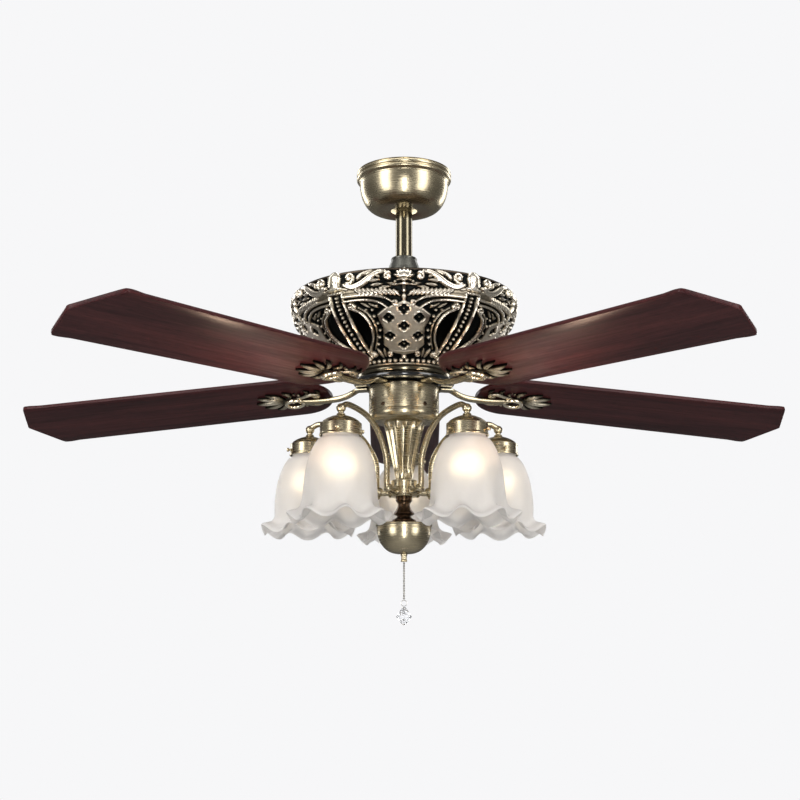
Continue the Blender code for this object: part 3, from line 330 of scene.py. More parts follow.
def soften(outline, radius, steps=3):
    """Rounds the corners of a closed outline."""
    result = []
    count = len(outline)
    for i in range(count):
        before, corner, after = (Vector(outline[(i + k) % count]) for k in (-1, 0, 1))
        back, ahead = before - corner, after - corner
        cut = min(radius, 0.45 * back.length, 0.45 * ahead.length)
        if corner.x < 1e-6 or back.length < 1e-7 or ahead.length < 1e-7:
            result.append(tuple(corner))
            continue
        start, end = corner + back.normalized() * cut, corner + ahead.normalized() * cut
        for j in range(steps + 1):
            t = j / steps
            point = start * (1 - t) ** 2 + corner * 2 * t * (1 - t) + end * t * t
            result.append(tuple(point))
    return result


def curve_through(points, steps=6):
    """Points along a smooth curve through the given ones, of any dimension."""
    points = [np.array(point, float) for point in points]
    ends = [2 * points[0] - points[1]] + points + [2 * points[-1] - points[-2]]
    route = []
    for a, b, c, d in zip(ends, ends[1:], ends[2:], ends[3:]):
        for i in range(steps):
            t = i / steps
            bend = (2 * a - 5 * b + 4 * c - d) * t**2 + (3 * b - a - 3 * c + d) * t**3
            route.append(0.5 * (2 * b + (c - a) * t + bend))
    route.append(points[-1])
    return np.array(route)


def arc(radius, centre_z, start, end, count):
    """Points on a sphere's outline about the axis, between two elevations in degrees."""
    angles = np.radians(np.linspace(start, end, count))
    return [(radius * math.cos(a), centre_z + radius * math.sin(a)) for a in angles]


def grid_faces(rows, columns, wrap_rows=False):
    """Quads between rings of points; wrap_rows joins the last ring to the first."""
    faces = []
    for i in range(rows if wrap_rows else rows - 1):
        below = (i + 1) % rows
        for j in range(columns):
            right = (j + 1) % columns
            faces.append((i * columns + j, below * columns + j, below * columns + right, i * columns + right))
    return faces


def capped_faces(rows, columns):
    """Quads between rings of points, and a face over each end."""
    last = (rows - 1) * columns
    return grid_faces(rows, columns) + [tuple(range(columns)), tuple(range(last, last + columns))[::-1]]


def new_mesh(name, points, faces, weld=True):
    """A mesh with its faces turned outward; weld merges points that coincide."""
    mesh = bpy.data.meshes.new(name)
    mesh.from_pydata([tuple(map(float, p)) for p in points], [], faces)
    shape = bmesh.new()
    shape.from_mesh(mesh)
    if weld:
        bmesh.ops.remove_doubles(shape, verts=shape.verts, dist=1e-6)
    bmesh.ops.recalc_face_normals(shape, faces=shape.faces)
    if shape.calc_volume(signed=True) < 0:
        bmesh.ops.reverse_faces(shape, faces=shape.faces)
    shape.to_mesh(mesh)
    shape.free()
    mesh.update()
    return mesh


def turned_mesh(name, outline, steps=96, wave=None):
    """A closed outline, clockwise as (radius, z), turned about Z. wave changes (radius, z) by angle."""
    points = []
    for radius, z in outline:
        for j in range(steps):
            angle = 2 * math.pi * j / steps
            r, height = wave(radius, z, angle) if wave else (radius, z)
            points.append((r * math.cos(angle), r * math.sin(angle), height))
    return new_mesh(name, points, grid_faces(len(outline), steps, wrap_rows=True))


def turned(name, outline, finish, body, stands_for=(), round_off=0.5 * MM, steps=96):
    mesh = turned_mesh(name, soften(outline, round_off), steps)
    return add_piece(name, mesh, finish, body, stands_for)


def tube_mesh(name, route, radii, sides=14):
    """A closed tube round a route, of one radius or one for each point."""
    route = [Vector(p) for p in route]
    points = []
    side = None
    for i, point in enumerate(route):
        ahead = (route[min(i + 1, len(route) - 1)] - route[max(i - 1, 0)]).normalized()
        if side is None:
            guess = Vector((0, 0, 1)) if abs(ahead.z) < 0.9 else Vector((1, 0, 0))
            side = guess.cross(ahead)
        side = (side - ahead * side.dot(ahead)).normalized()
        up = ahead.cross(side)
        radius = radii[i] if hasattr(radii, "__len__") else radii
        for j in range(sides):
            a = 2 * math.pi * j / sides
            points.append(point + side * math.cos(a) * radius + up * math.sin(a) * radius)
    return new_mesh(name, points, capped_faces(len(route), sides))


def ball_mesh(name, radius, centre, squash=1.0, detail=24):
    shape = bmesh.new()
    bmesh.ops.create_uvsphere(shape, u_segments=detail, v_segments=detail // 2, radius=radius)
    bmesh.ops.scale(shape, vec=(1, 1, squash), verts=shape.verts)
    bmesh.ops.translate(shape, vec=centre, verts=shape.verts)
    mesh = bpy.data.meshes.new(name)
    shape.to_mesh(mesh)
    shape.free()
    return mesh


def joined(name, meshes):
    """Several meshes as one, with no finish yet."""
    shape = bmesh.new()
    for mesh in meshes:
        shape.from_mesh(mesh)
    mesh = bpy.data.meshes.new(name)
    shape.to_mesh(mesh)
    shape.free()
    return mesh


def moved(mesh, matrix):
    mesh.transform(matrix)
    if matrix.determinant() < 0:
        mesh.flip_normals()
    return mesh


def ring_of(name, mesh, count, first, place):
    """Copies of a mesh round the Z axis as one, the first at an angle in degrees."""
    turns = [Matrix.Rotation(math.radians(first + 360 * i / count), 4, "Z") for i in range(count)]
    return joined(name, [moved(mesh.copy(), turn @ place) for turn in turns])


def pointing_out(radius, z):
    """Stands a mesh's Z axis out along X, at a distance from the axis."""
    return Matrix.Translation((radius, 0, z)) @ Matrix.Rotation(math.pi / 2, 4, "Y")


def screw_mesh(radius, height):
    """A domed cross-head screw, its head's top up, standing on z = 0."""
    slot_width = 0.22
    dome = [(0, height), (0.5 * radius, 0.93 * height), (0.86 * radius, 0.62 * height)]
    dome += [(radius, 0.25 * height), (radius, 0), (0, 0)]
    mesh = turned_mesh("screw", soften(dome, 0.1 * radius, 2), 20)
    shape = bmesh.new()
    shape.from_mesh(mesh)
    for vertex in shape.verts:
        x, y = abs(vertex.co.x) / radius, abs(vertex.co.y) / radius
        if vertex.co.z > 0.5 * height and min(x, y) < slot_width and max(x, y) < 0.6:
            vertex.co.z -= 0.4 * height
    shape.to_mesh(mesh)
    shape.free()
    return mesh


# ---------------------------------------------------------------- camera, light and room


def look_at(obj, target):
    direction = Vector(target) - obj.location
    obj.rotation_euler = direction.to_track_quat("-Z", "Y").to_euler()


CAMERA_PLACE = (0, -2.0865, -0.8045)
CAMERA_TILT = 11.85  # degrees above the horizontal


def add_camera():
    """Where the photograph was taken from, with its framing."""
    data = bpy.data.cameras.new("camera")
    camera = bpy.data.objects.new("camera", data)
    bpy.context.scene.collection.objects.link(camera)
    camera.location = CAMERA_PLACE
    camera.rotation_euler = (math.radians(90 + CAMERA_TILT), 0, 0)
    data.sensor_width = 36
    data.lens = 62.72
    data.shift_x = -0.005
    bpy.context.scene.camera = camera


def softbox(name, place, target, size, power, colour=(1, 1, 1)):
    data = bpy.data.lights.new(name, "AREA")
    data.shape = "RECTANGLE"
    data.size, data.size_y = size
    data.energy = power
    data.color = colour
    light = bpy.data.objects.new(name, data)
    bpy.context.scene.collection.objects.link(light)
    light.location = place
    look_at(light, target)


def add_lights():
    """Tall softboxes at both sides of the camera, a low strip in front, two behind and one above."""
    aim = (0, 0, -0.3)
    softbox("key_left", (-1.75, -1.5, 0.0), aim, (1.0, 3.0), 44)
    softbox("key_right", (1.75, -1.5, 0.0), aim, (1.0, 3.0), 41)
    softbox("front_strip", (0.05, -2.5, -1.1), (0, 0, -0.5), (0.3, 2.2), 30)
    softbox("back_left", (-1.7, 1.9, 0.3), aim, (0.7, 2.0), 20)
    softbox("back_right", (1.7, 1.9, 0.3), aim, (0.7, 2.0), 20)
    softbox("above", (0, -0.3, 1.8), (0, 0, -0.2), (2.4, 1.6), 40)
    warm = (1.0, 0.7, 0.5)
    for number in (3, 4):
        a = azimuth(number)
        place = Vector((0.3 * math.cos(a), 0.3 * math.sin(a), -0.5))
        softbox(f"lamp_glow_{number + 1}", place, place + Vector((0, 0, 1)), (0.05, 0.05), 0.35, warm)


def add_world():
    """A pale backdrop for the camera; a dimmer sky, brightest overhead, lights the fan."""
    world = bpy.data.worlds.new("studio")
    bpy.context.scene.world = world
    world.use_nodes = True
    tree = world.node_tree
    tree.nodes.clear()
    seen, lit = tree.nodes.new("ShaderNodeBackground"), tree.nodes.new("ShaderNodeBackground")
    mix, path = tree.nodes.new("ShaderNodeMixShader"), tree.nodes.new("ShaderNodeLightPath")
    out = tree.nodes.new("ShaderNodeOutputWorld")
    coordinates = tree.nodes.new("ShaderNodeTexCoord")
    parts = tree.nodes.new("ShaderNodeSeparateXYZ")
    lift = tree.nodes.new("ShaderNodeMath")
    ramp = tree.nodes.new("ShaderNodeValToRGB")
    through = tree.nodes.new("ShaderNodeMath")
    lift.operation = "MULTIPLY_ADD"
    lift.inputs[1].default_value = 0.5
    lift.inputs[2].default_value = 0.5
    through.operation = "MAXIMUM"
    set_stops(ramp.color_ramp, [(0.0, 0.2), (0.42, 0.12), (0.58, 0.15), (1.0, 0.5)])
    seen.inputs["Color"].default_value = (0.93, 0.93, 0.94, 1)
    for source, target in (
        (coordinates.outputs["Generated"], parts.inputs[0]), (parts.outputs["Z"], lift.inputs[0]),
        (lift.outputs[0], ramp.inputs["Fac"]), (ramp.outputs["Color"], lit.inputs["Color"]),
        (path.outputs["Is Camera Ray"], through.inputs[0]),
        (path.outputs["Is Transmission Ray"], through.inputs[1]),
        (through.outputs[0], mix.inputs["Fac"]), (lit.outputs[0], mix.inputs[1]),
        (seen.outputs[0], mix.inputs[2]), (mix.outputs[0], out.inputs["Surface"]),
    ):
        tree.links.new(source, target)


def add_floor():
    half, level = 9, -2.4
    mesh = bpy.data.meshes.new("floor")
    corners = [(-half, -half, level), (half, -half, level), (half, half, level), (-half, half, level)]
    mesh.from_pydata(corners, [], [(0, 1, 2, 3)])
    floor = bpy.data.objects.new("floor", mesh)
    bpy.context.scene.collection.objects.link(floor)
    paint = Paint("floor", Roughness=0.8, Specular_IOR_Level=0.1)
    ray = paint.node("ShaderNodeLightPath").outputs["Is Camera Ray"]
    paint.link(paint.mix(ray, (0.3, 0.3, 0.3), (0.82, 0.82, 0.83)), "Base Color")
    paint.link(paint.mix(ray, (0.0, 0.0, 0.0), (0.62, 0.62, 0.63)), "Emission Color")
    paint.set("Emission Strength", 1.0)
    floor.data.materials.append(paint.material)


def add_studio():
    add_lights()
    add_world()
    add_floor()
    bpy.context.scene.view_settings.view_transform = "Standard"


# ---------------------------------------------------------------- pull chain


def add_split_ring():
    """Two turns of wire."""
    lo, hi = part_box("chain_ring")
    centre = middle("chain_ring")
    wire = 0.6 * MM
    big = (hi[2] - lo[2]) / 2 - wire - 0.1 * MM
    ring_route = []
    for i in range(64):
        a = 4 * math.pi * i / 63 * 0.97
        offset = (i / 63 - 0.5) * wire * 1.3
        ring_route.append(centre + Vector((big * math.cos(a), offset, big * math.sin(a))))
    ring = tube_mesh("split_ring", ring_route, wire * 0.62, 8)
    add_piece("split_ring", ring, "chain", "pendant", ("chain_ring",))


def add_crystal():
    """An eight-sided drop, its facets staggered from level to level."""
    lo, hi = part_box("crystal_drop")
    high, low = hi[2], lo[2]
    tall, wide = high - low, (hi[0] - lo[0]) / 2
    # Shares of the width and the height, from the tip at the top to the point below.
    levels = [
        (0.001, 1.0), (0.2, 0.985), (0.55, 0.76), (0.97, 0.51),
        (1.0, 0.475), (0.9, 0.42), (0.42, 0.16), (0.001, 0),
    ]
    points = []
    for row, (share, height) in enumerate(levels):
        for j in range(8):
            a = 2 * math.pi * (j + 0.5 * (row % 2)) / 8
            points.append((wide * share * math.cos(a), wide * share * math.sin(a), low + height * tall))
    faces = []
    for i in range(len(levels) - 1):
        for j in range(8):
            k = (j + 1) % 8
            a, b = i * 8 + j, i * 8 + k
            c, d = (i + 1) * 8 + j, (i + 1) * 8 + k
            faces += [(a, c, b), (b, c, d)] if i % 2 == 0 else [(a, c, d), (a, d, b)]
    mesh = new_mesh("crystal_facets", points, faces)
    return add_piece("crystal_facets", mesh, "crystal", "pendant", ("crystal_drop",), sharp=1)


def add_chain():
    """Beads on their links from inside the guide to the split ring, then the crystal."""
    lo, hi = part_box("pull_chain")
    radius = 1.6 * MM
    pitch = 3.7 * MM
    count = round((hi[2] - lo[2]) / pitch)
    pitch = (hi[2] - lo[2]) / count
    outline = []
    for i in range(count):
        centre = hi[2] - (i + 0.5) * pitch
        outline += arc(radius, centre, 74, -74, 7)
    outline = [(0, hi[2])] + outline + [(0, lo[2])]
    mesh = turned_mesh("pull_chain_beads", outline, 14)
    chain = add_piece("pull_chain_beads", mesh, "chain", "chain", ("pull_chain",))
    add_split_ring()
    drop = add_crystal()


# ---------------------------------------------------------------- canopy, rod, coupling cover


def quarter(outer, high, inner, low, count, power=1.0):
    """A quarter ellipse that starts straight down and ends straight in."""
    angles = np.linspace(0, math.pi / 2, count)
    return [
        (inner + (outer - inner) * math.cos(a) ** power, high + (low - high) * math.sin(a)) for a in angles
    ]


def add_canopy():
    high, low = top("canopy"), bottom("canopy")
    radius = reach("canopy")
    wall = 1.2 * MM
    hole = 20.5 * MM
    bowl = radius - 4.9 * MM
    step = high - 16 * MM
    outer = [(radius - 2.2 * MM, high), (radius - 0.6 * MM, high - 0.8 * MM)]
    for centre in (high - 5 * MM, high - 12 * MM):
        outer += [(radius - 3.2 * MM + r, z) for r, z in arc(3.2 * MM, centre, 68, -68, 7)]
    outer += [(bowl + 0.6 * MM, step - 1 * MM), (bowl + 0.6 * MM, step - 2.4 * MM), (bowl, step - 2.8 * MM)]
    base = 40 * MM
    outer += quarter(bowl, step - 3 * MM, base, low, 16, 0.9)
    outer.append((hole, low + 0.6 * MM))
    inner = quarter(bowl - wall, step - 3 * MM, base, low + wall, 12, 0.9)
    outline = outer + [(hole, low + wall)] + inner[::-1] + [(bowl - wall, high)]
    turned("canopy_bowl", outline, "brass", "root", ("canopy",), 0.35 * MM, 128)

    radius = reach("downrod")
    high, low = top("downrod"), bottom("downrod")
    outline = [(radius, high), (radius, low), (radius - 2.6 * MM, low), (radius - 2.6 * MM, high)]
    turned("downrod_tube", outline, "rod_brass", "fan", ("downrod",), 0.6 * MM, 64)

    high, low = top("coupling_cover"), bottom("coupling_cover")
    foot = reach("coupling_cover")
    wall = 1.4 * MM
    neck = 20.3 * MM
    bore = radius + 0.3 * MM
    outline = [
        (bore, high), (neck - 1.2 * MM, high), (neck, high - 1 * MM), (neck, high - 3.2 * MM),
        (neck - 0.6 * MM, high - 4 * MM), (24.6 * MM, high - 17 * MM), (foot, low), (foot - wall, low),
        (24.6 * MM - wall, high - 17 * MM), (neck - 0.6 * MM - wall, high - 5 * MM),
        (bore, high - 1.6 * MM),
    ]
    turned("coupling_cone", outline, "pewter", "fan", ("coupling_cover",), 0.8 * MM, 96)


# ---------------------------------------------------------------- motor housing

HOUSING_TOP = top("motor_housing")
HOUSING_BOTTOM = bottom("motor_housing")
RIM_RADIUS = reach("motor_housing")
MOUTH_RADIUS = 65 * MM
RIM_HEIGHT = 14 * MM
BOWL_HEIGHT = HOUSING_TOP - HOUSING_BOTTOM - RIM_HEIGHT - 3 * MM
HALF_PANEL = 36.0  # degrees from a panel's middle to the strap beside it
RECESS = 3.6 * MM  # the bare bowl lies this far inside the crests


def bowl_radius(z):
    depth = np.clip((HOUSING_TOP - RIM_HEIGHT - z) / BOWL_HEIGHT, 0, 1)
    near_rim = np.clip(1 - (HOUSING_TOP - z) / RIM_HEIGHT, 0, 1)
    return MOUTH_RADIUS + (RIM_RADIUS - MOUTH_RADIUS) * (1 - depth**2) - 3.5 * MM * near_rim**2


class Relief:
    """Heights of cast ornament over half a panel.

    Places are (degrees from the panel's middle, millimetres below the rim).
    """

    def __init__(self, columns, rows):
        z = np.linspace(HOUSING_TOP, HOUSING_BOTTOM + 1 * MM, 600)
        radius = bowl_radius(z)
        length = np.concatenate([[0], np.cumsum(np.hypot(np.diff(z), np.diff(radius)))])
        self.fine_z, self.fine_length = z, length
        self.lengths = np.linspace(0, length[-1], rows)
        self.z = np.interp(self.lengths, length, z)
        self.radius = bowl_radius(self.z)
        slope_r, slope_z = np.gradient(self.radius, self.lengths), np.gradient(self.z, self.lengths)
        self.out = np.stack([-slope_z, slope_r], 1)
        self.out[:, 1] += 0.9 * np.clip(1 - self.lengths / (9 * MM), 0, 1)
        self.out /= np.linalg.norm(self.out, axis=1)[:, None]
        self.angles = np.linspace(0, HALF_PANEL, columns)
        self.grid_angle, self.grid_length = np.meshgrid(self.angles, self.lengths)
        self.grid_radius = np.repeat(self.radius[:, None], columns, 1)
        self.depth = (HOUSING_TOP - self.z) / MM
        self.height = np.zeros(self.grid_angle.shape)

    def flat(self, points):
        """(degrees, mm of length) of points given as (degrees, mm below the rim)."""
        points = np.array(points, float)
        z = HOUSING_TOP - points[:, 1] * MM
        length = np.interp(-z, -self.fine_z, self.fine_length) / MM
        return np.stack([points[:, 0], length], 1)

    def offsets(self, angle, length):
        """mm across and down from a place to every grid point."""
        across = np.radians(self.grid_angle - angle) * self.grid_radius / MM
        return across, self.grid_length / MM - length

    def raise_to(self, height):
        self.height = np.maximum(self.height, height)

    def nearness(self, line, halves):
        """1 on a line of (degrees, mm) places, falling to 0 at its half width away."""
        best = np.full(self.height.shape, -1.0)
        for (angle, length), half in zip(line, halves):
            across, down = self.offsets(angle, length)
            best = np.maximum(best, 1 - np.hypot(across, down) / half)
        return best

    def stroke(self, points, widths, height, groove=0.0, edge=0.5):
        """A tapered rounded rib along a smooth curve. widths are half widths along it, in mm."""
        line = curve_through(self.flat(points), 10)
        width = np.interp(np.linspace(0, 1, len(line)), np.linspace(0, 1, len(widths)), widths)
        best = self.nearness(line, np.maximum(width, 0.05))
        ratio = 1 - np.clip(best, 0, 1)
        rib = np.where(best > 0, (1 - ratio**2) ** edge, 0) * height
        if groove:
            rib -= np.where(best > 0, groove * np.exp(-((ratio / 0.3) ** 2)), 0)
        self.raise_to(np.where(best > 0, rib, 0))

    def disc(self, place, radius, height, lift=0.0):
        angle, length = self.flat([place])[0]
        across, down = self.offsets(angle, length)
        ratio = np.hypot(across, down) / radius
        dome = lift + height * (1 - np.clip(ratio, 0, 1) ** 2) ** 0.5
        self.raise_to(np.where(ratio < 1, dome, 0))

    def scroll(self, place, radius, turns, start, hand, width, height):
        """A volute that winds in from its outer radius; start is an angle in degrees."""
        angle, length = self.flat([place])[0]
        local = float(np.interp(length, self.lengths / MM, self.radius)) / MM
        shares = np.linspace(0, 1, 28)
        line = []
        for share in shares:
            turn = math.radians(start) + hand * 2 * math.pi * turns * share
            r = radius * (1 - 0.82 * share)
            line.append((angle + math.degrees(r * math.cos(turn) / local), length + r * math.sin(turn)))
        best = self.nearness(line, width * (1 - 0.35 * shares))
        ratio = 1 - np.clip(best, 0, 1)
        self.raise_to(np.where(best > 0, np.sqrt(np.clip(1 - ratio**2, 0, 1)) * height, 0))
        self.disc(place, radius * 0.36, height * 1.1)

    def leaf(self, root, tip, width, height, bend=0.0):
        """A pointed leaf with a sunk vein, from root to tip; bend bows it sideways, in degrees."""
        middle = ((root[0] + tip[0]) / 2 + bend, (root[1] + tip[1]) / 2)
        self.stroke([root, middle, tip], [0.35 * width, width, 0.8 * width, 0.1], height, groove=0.3 * height)

    def floor(self, inside, depth):
        """Sinks the ground where inside says so."""
        self.height = np.where(inside, np.minimum(self.height, -depth), self.height)


def inside_outline(relief, points):
    """Which grid points lie within a closed outline."""
    line = relief.flat(points)
    x, y = relief.grid_angle, relief.grid_length / MM
    inside = np.zeros(x.shape, bool)
    for (x1, y1), (x2, y2) in zip(line, np.roll(line, -1, axis=0)):
        crosses = (y1 > y) != (y2 > y)
        with np.errstate(divide="ignore", invalid="ignore"):
            where = (x2 - x1) * (y - y1) / (y2 - y1) + x1
        inside ^= crosses & (x < where)
    return inside


def four_lobes(relief, place, spread, radius):
    """Grid points within a four-lobed outline round a place."""
    across, down = relief.offsets(*relief.flat([place])[0])
    inside = np.zeros(across.shape, bool)
    for shift in ((spread, 0), (-spread, 0), (0, spread), (0, -spread)):
        inside |= np.hypot(across - shift[0], down - shift[1]) < radius
    return inside


def carve_lattice(relief):
    """The vase's lattice, with four-lobed holes sunk into it inside raised rims, and the beads beside it."""
    field = [
        (0, 47), (5, 53), (11, 58), (15, 64), (14.2, 72),
        (13, 80), (13.8, 90), (15.6, 99), (9, 108), (0, 111),
    ]
    relief.height[inside_outline(relief, field)] = 3.9
    holes = [(0, 58), (0, 78.5), (0, 99), (8.6, 68.2), (9.4, 89)]
    for hole in holes:
        rim = four_lobes(relief, hole, 4.0, 5.7)
        relief.height = np.where(rim, np.maximum(relief.height, 5.2), relief.height)
    for hole in holes:
        relief.height = np.where(four_lobes(relief, hole, 4.0, 4.2), -2.8, relief.height)
        relief.disc(hole, 1.7, 3.4)
    for place, size in (
        ((17.2, 58.5), 2.5), ((16.8, 66.5), 2.9), ((15.6, 75), 2.3), ((15.3, 83), 2.6),
        ((17.0, 91), 2.9), ((19.6, 98.5), 2.4), ((20.4, 57.5), 1.9), ((14.4, 53.2), 2.0),
    ):
        relief.disc(place, size, 4.6)


def carve_rim(relief):
    """Everything between the rim and the rope: crown, scrolls with volutes, and leaves."""
    relief.raise_to(np.where(relief.depth[:, None] < 1.4, 2.4, 0) * np.ones(relief.height.shape))
    relief.scroll((27.4, 11.2), 8.6, 1.35, 60, 1, 2.8, 6.4)
    sweep = [(30.6, 20.5), (26, 25), (21, 21.5), (17.0, 13.4), (12.8, 6.2), (9.2, 5.2)]
    relief.stroke(sweep, [2.8, 4.6, 5.6, 5.0, 3.6, 2.4], 6.4, groove=2.2)
    relief.scroll((7.7, 13.2), 6.2, 1.25, -110, 1, 2.3, 6.0)
    relief.leaf((23.4, 15.5), (18.0, 2.6), 3.8, 5.6, 1.2)
    relief.leaf((19.6, 8.6), (14.6, 0.8), 3.2, 5.2, 0.8)
    relief.leaf((17.6, 19), (11.0, 17.5), 3.2, 4.8, 0.4)
    relief.leaf((16.4, 25.4), (9.4, 24.0), 3.0, 4.4, 0.4)
    relief.leaf((12.2, 29.4), (6.0, 28.0), 2.6, 4.0)
    relief.leaf((32.2, 25.5), (27.6, 28.6), 2.6, 4.4)
    relief.leaf((8.0, 23), (3.4, 27), 2.6, 4.0)
    relief.disc((12.6, 12.6), 2.6, 4.4)
    relief.disc((4.4, 21.4), 2.3, 4.4)
    # Crown
    for lean, high in ((0, -1.0), (2.2, 0.6), (4.0, 3.6)):
        relief.leaf((lean * 0.35, 14.5), (lean, high), 2.7, 6.6)
    relief.stroke([(0, 12.6), (2.6, 13.8), (4.6, 11.4)], [2.6, 2.3, 1.5], 6.0)
    relief.stroke([(0, 17.6), (3.2, 19.0)], [2.2, 1.3], 5.0)
    relief.stroke([(0, 20), (0, 35)], [2.5, 1.9, 2.9], 6.2)
    relief.stroke([(0, 24.5), (3.8, 25.6)], [2.0, 1.5], 5.2)
    relief.disc((0, 34.5), 3.4, 6.0)


def carve_shoulder(relief):
    """Rope band, the ribbons under it with their volutes, and the vase's own ribs."""
    band = [(33, 30.5), (26, 31.6), (20, 33.0), (10, 35.2), (3.4, 36.5)]
    relief.stroke(band, [5.4, 5.2, 4.2, 4.0, 3.2], 2.6, edge=0.3)
    for i in range(10):
        share = i / 9
        angle = 23.4 - 19.6 * share
        depth = 32.0 + 4.9 * share
        strand = [(angle + 1.25, depth - 4.6), (angle, depth), (angle - 1.6, depth + 4.2)]
        relief.stroke(strand, [1.2, 2.3, 1.2], 5.6)
    upper = [(32.2, 37.4), (22, 38.2), (15, 40.0), (9.4, 43.6), (6.2, 48.5)]
    relief.stroke(upper, [2.4, 2.7, 2.6, 2.3, 1.8], 5.6)
    lower = [(32.0, 43.6), (24, 43.8), (17, 45.6), (12.0, 50.0), (9.0, 56.0)]
    relief.stroke(lower, [2.4, 2.7, 2.5, 2.1, 1.6], 5.6)
    relief.scroll((28.4, 51.8), 5.8, 1.25, 170, 1, 2.2, 5.8)
    relief.scroll((4.4, 49.6), 4.5, 1.1, 90, -1, 1.8, 5.4)
    relief.leaf((0, 38.5), (0, 51), 3.4, 5.6)
    relief.leaf((22.6, 48), (17.6, 56), 2.6, 4.4)
    relief.leaf((18.4, 49.6), (13.4, 57), 2.4, 4.2)
    recess = [(24.6, 62), (31.5, 52), (32, 70), (32, 90), (31.5, 106), (27.5, 100), (22.6, 88), (21.8, 76)]
    relief.floor(inside_outline(relief, recess), 3.0)
    border = [(27.5, 55), (23.6, 61), (21.0, 71), (20.1, 81), (21.8, 92), (26.8, 102), (31, 108)]
    relief.stroke(border, [2.8, 2.5, 2.2, 2.5, 3.0], 5.8)
    inner_border = [(24.4, 54), (20.6, 61), (18.2, 71), (17.5, 81), (19.0, 92), (23.4, 103)]
    relief.stroke(inner_border, [1.6, 1.5, 1.4, 1.4, 1.6], 4.6)


def carve_foot(relief):
    """Scrolls, knobs and the moulding round the mouth."""
    relief.scroll((27.2, 109.5), 5.2, 1.2, -60, -1, 2.0, 5.2)
    relief.scroll((12.0, 110.0), 4.8, 1.2, -120, 1, 1.8, 4.8)
    relief.leaf((22.0, 104), (19.0, 114.0), 3.2, 4.8)
    relief.leaf((16.5, 104), (17.0, 113.5), 2.6, 4.4)
    relief.stroke([(0, 106.5), (6, 106), (12, 104.5)], [2.8, 2.2, 1.6], 4.8)
    relief.disc((0, 112.5), 4.4, 6.4)
    for i in range(6):
        relief.disc((3 + 6 * i, 117.0), 3.8, 4.8)
    depth = relief.depth[:, None] * np.ones(relief.height.shape)
    relief.height = np.where(depth > 119.5, 3.2, relief.height)


def carve_strap(relief):
    """A raised head with two curls and a collar, then a bordered band with a row of beads and a knob."""
    relief.stroke([(36, 4), (36, 20)], [9.2, 9.2], 5.4, edge=0.2)
    relief.stroke([(32.9, 20), (32.9, 7), (34.2, 2.2), (36, 0.6)], [1.4, 1.4, 1.4], 7.4)
    relief.scroll((36, 8.6), 3.7, 1.1, 0, 1, 1.3, 7.6)
    relief.scroll((36, 16.4), 3.5, 1.1, 180, 1, 1.3, 7.6)
    relief.stroke([(32.4, 25), (36, 25)], [2.6, 2.6], 7.4)
    relief.stroke([(32.0, 31), (36, 31)], [2.2, 2.2], 6.8)
    width = np.interp(relief.depth, [33, 60, 85, 110], [11.4, 11.8, 11.2, 9.8])[:, None]
    across = np.radians(HALF_PANEL - relief.grid_angle) * relief.grid_radius / MM
    on_strap = (relief.depth[:, None] > 33) & (relief.depth[:, None] < 112)
    relief.height = np.where(on_strap & (across < width), 1.0, relief.height)
    line = np.clip(1 - ((across - width) / 1.7) ** 2, 0, 1)
    relief.raise_to(np.where(on_strap, 6.2 * np.sqrt(line), 0))
    for i in range(14):
        relief.disc((36, 37.5 + 5.2 * i), 2.3, 3.6, lift=1.6)
    relief.disc((36, 113), 5.4, 7.0)


def carve_housing(relief):
    carve_lattice(relief)
    carve_rim(relief)
    carve_shoulder(relief)
    carve_foot(relief)
    carve_strap(relief)


def housing_heights():
    relief = Relief(72, 190)
    carve_housing(relief)
    padded = np.pad(relief.height, 1, mode="edge")
    around = padded[:-2, 1:-1] + padded[2:, 1:-1] + padded[1:-1, :-2] + padded[1:-1, 2:]
    return relief, (4 * padded[1:-1, 1:-1] + around) / 8


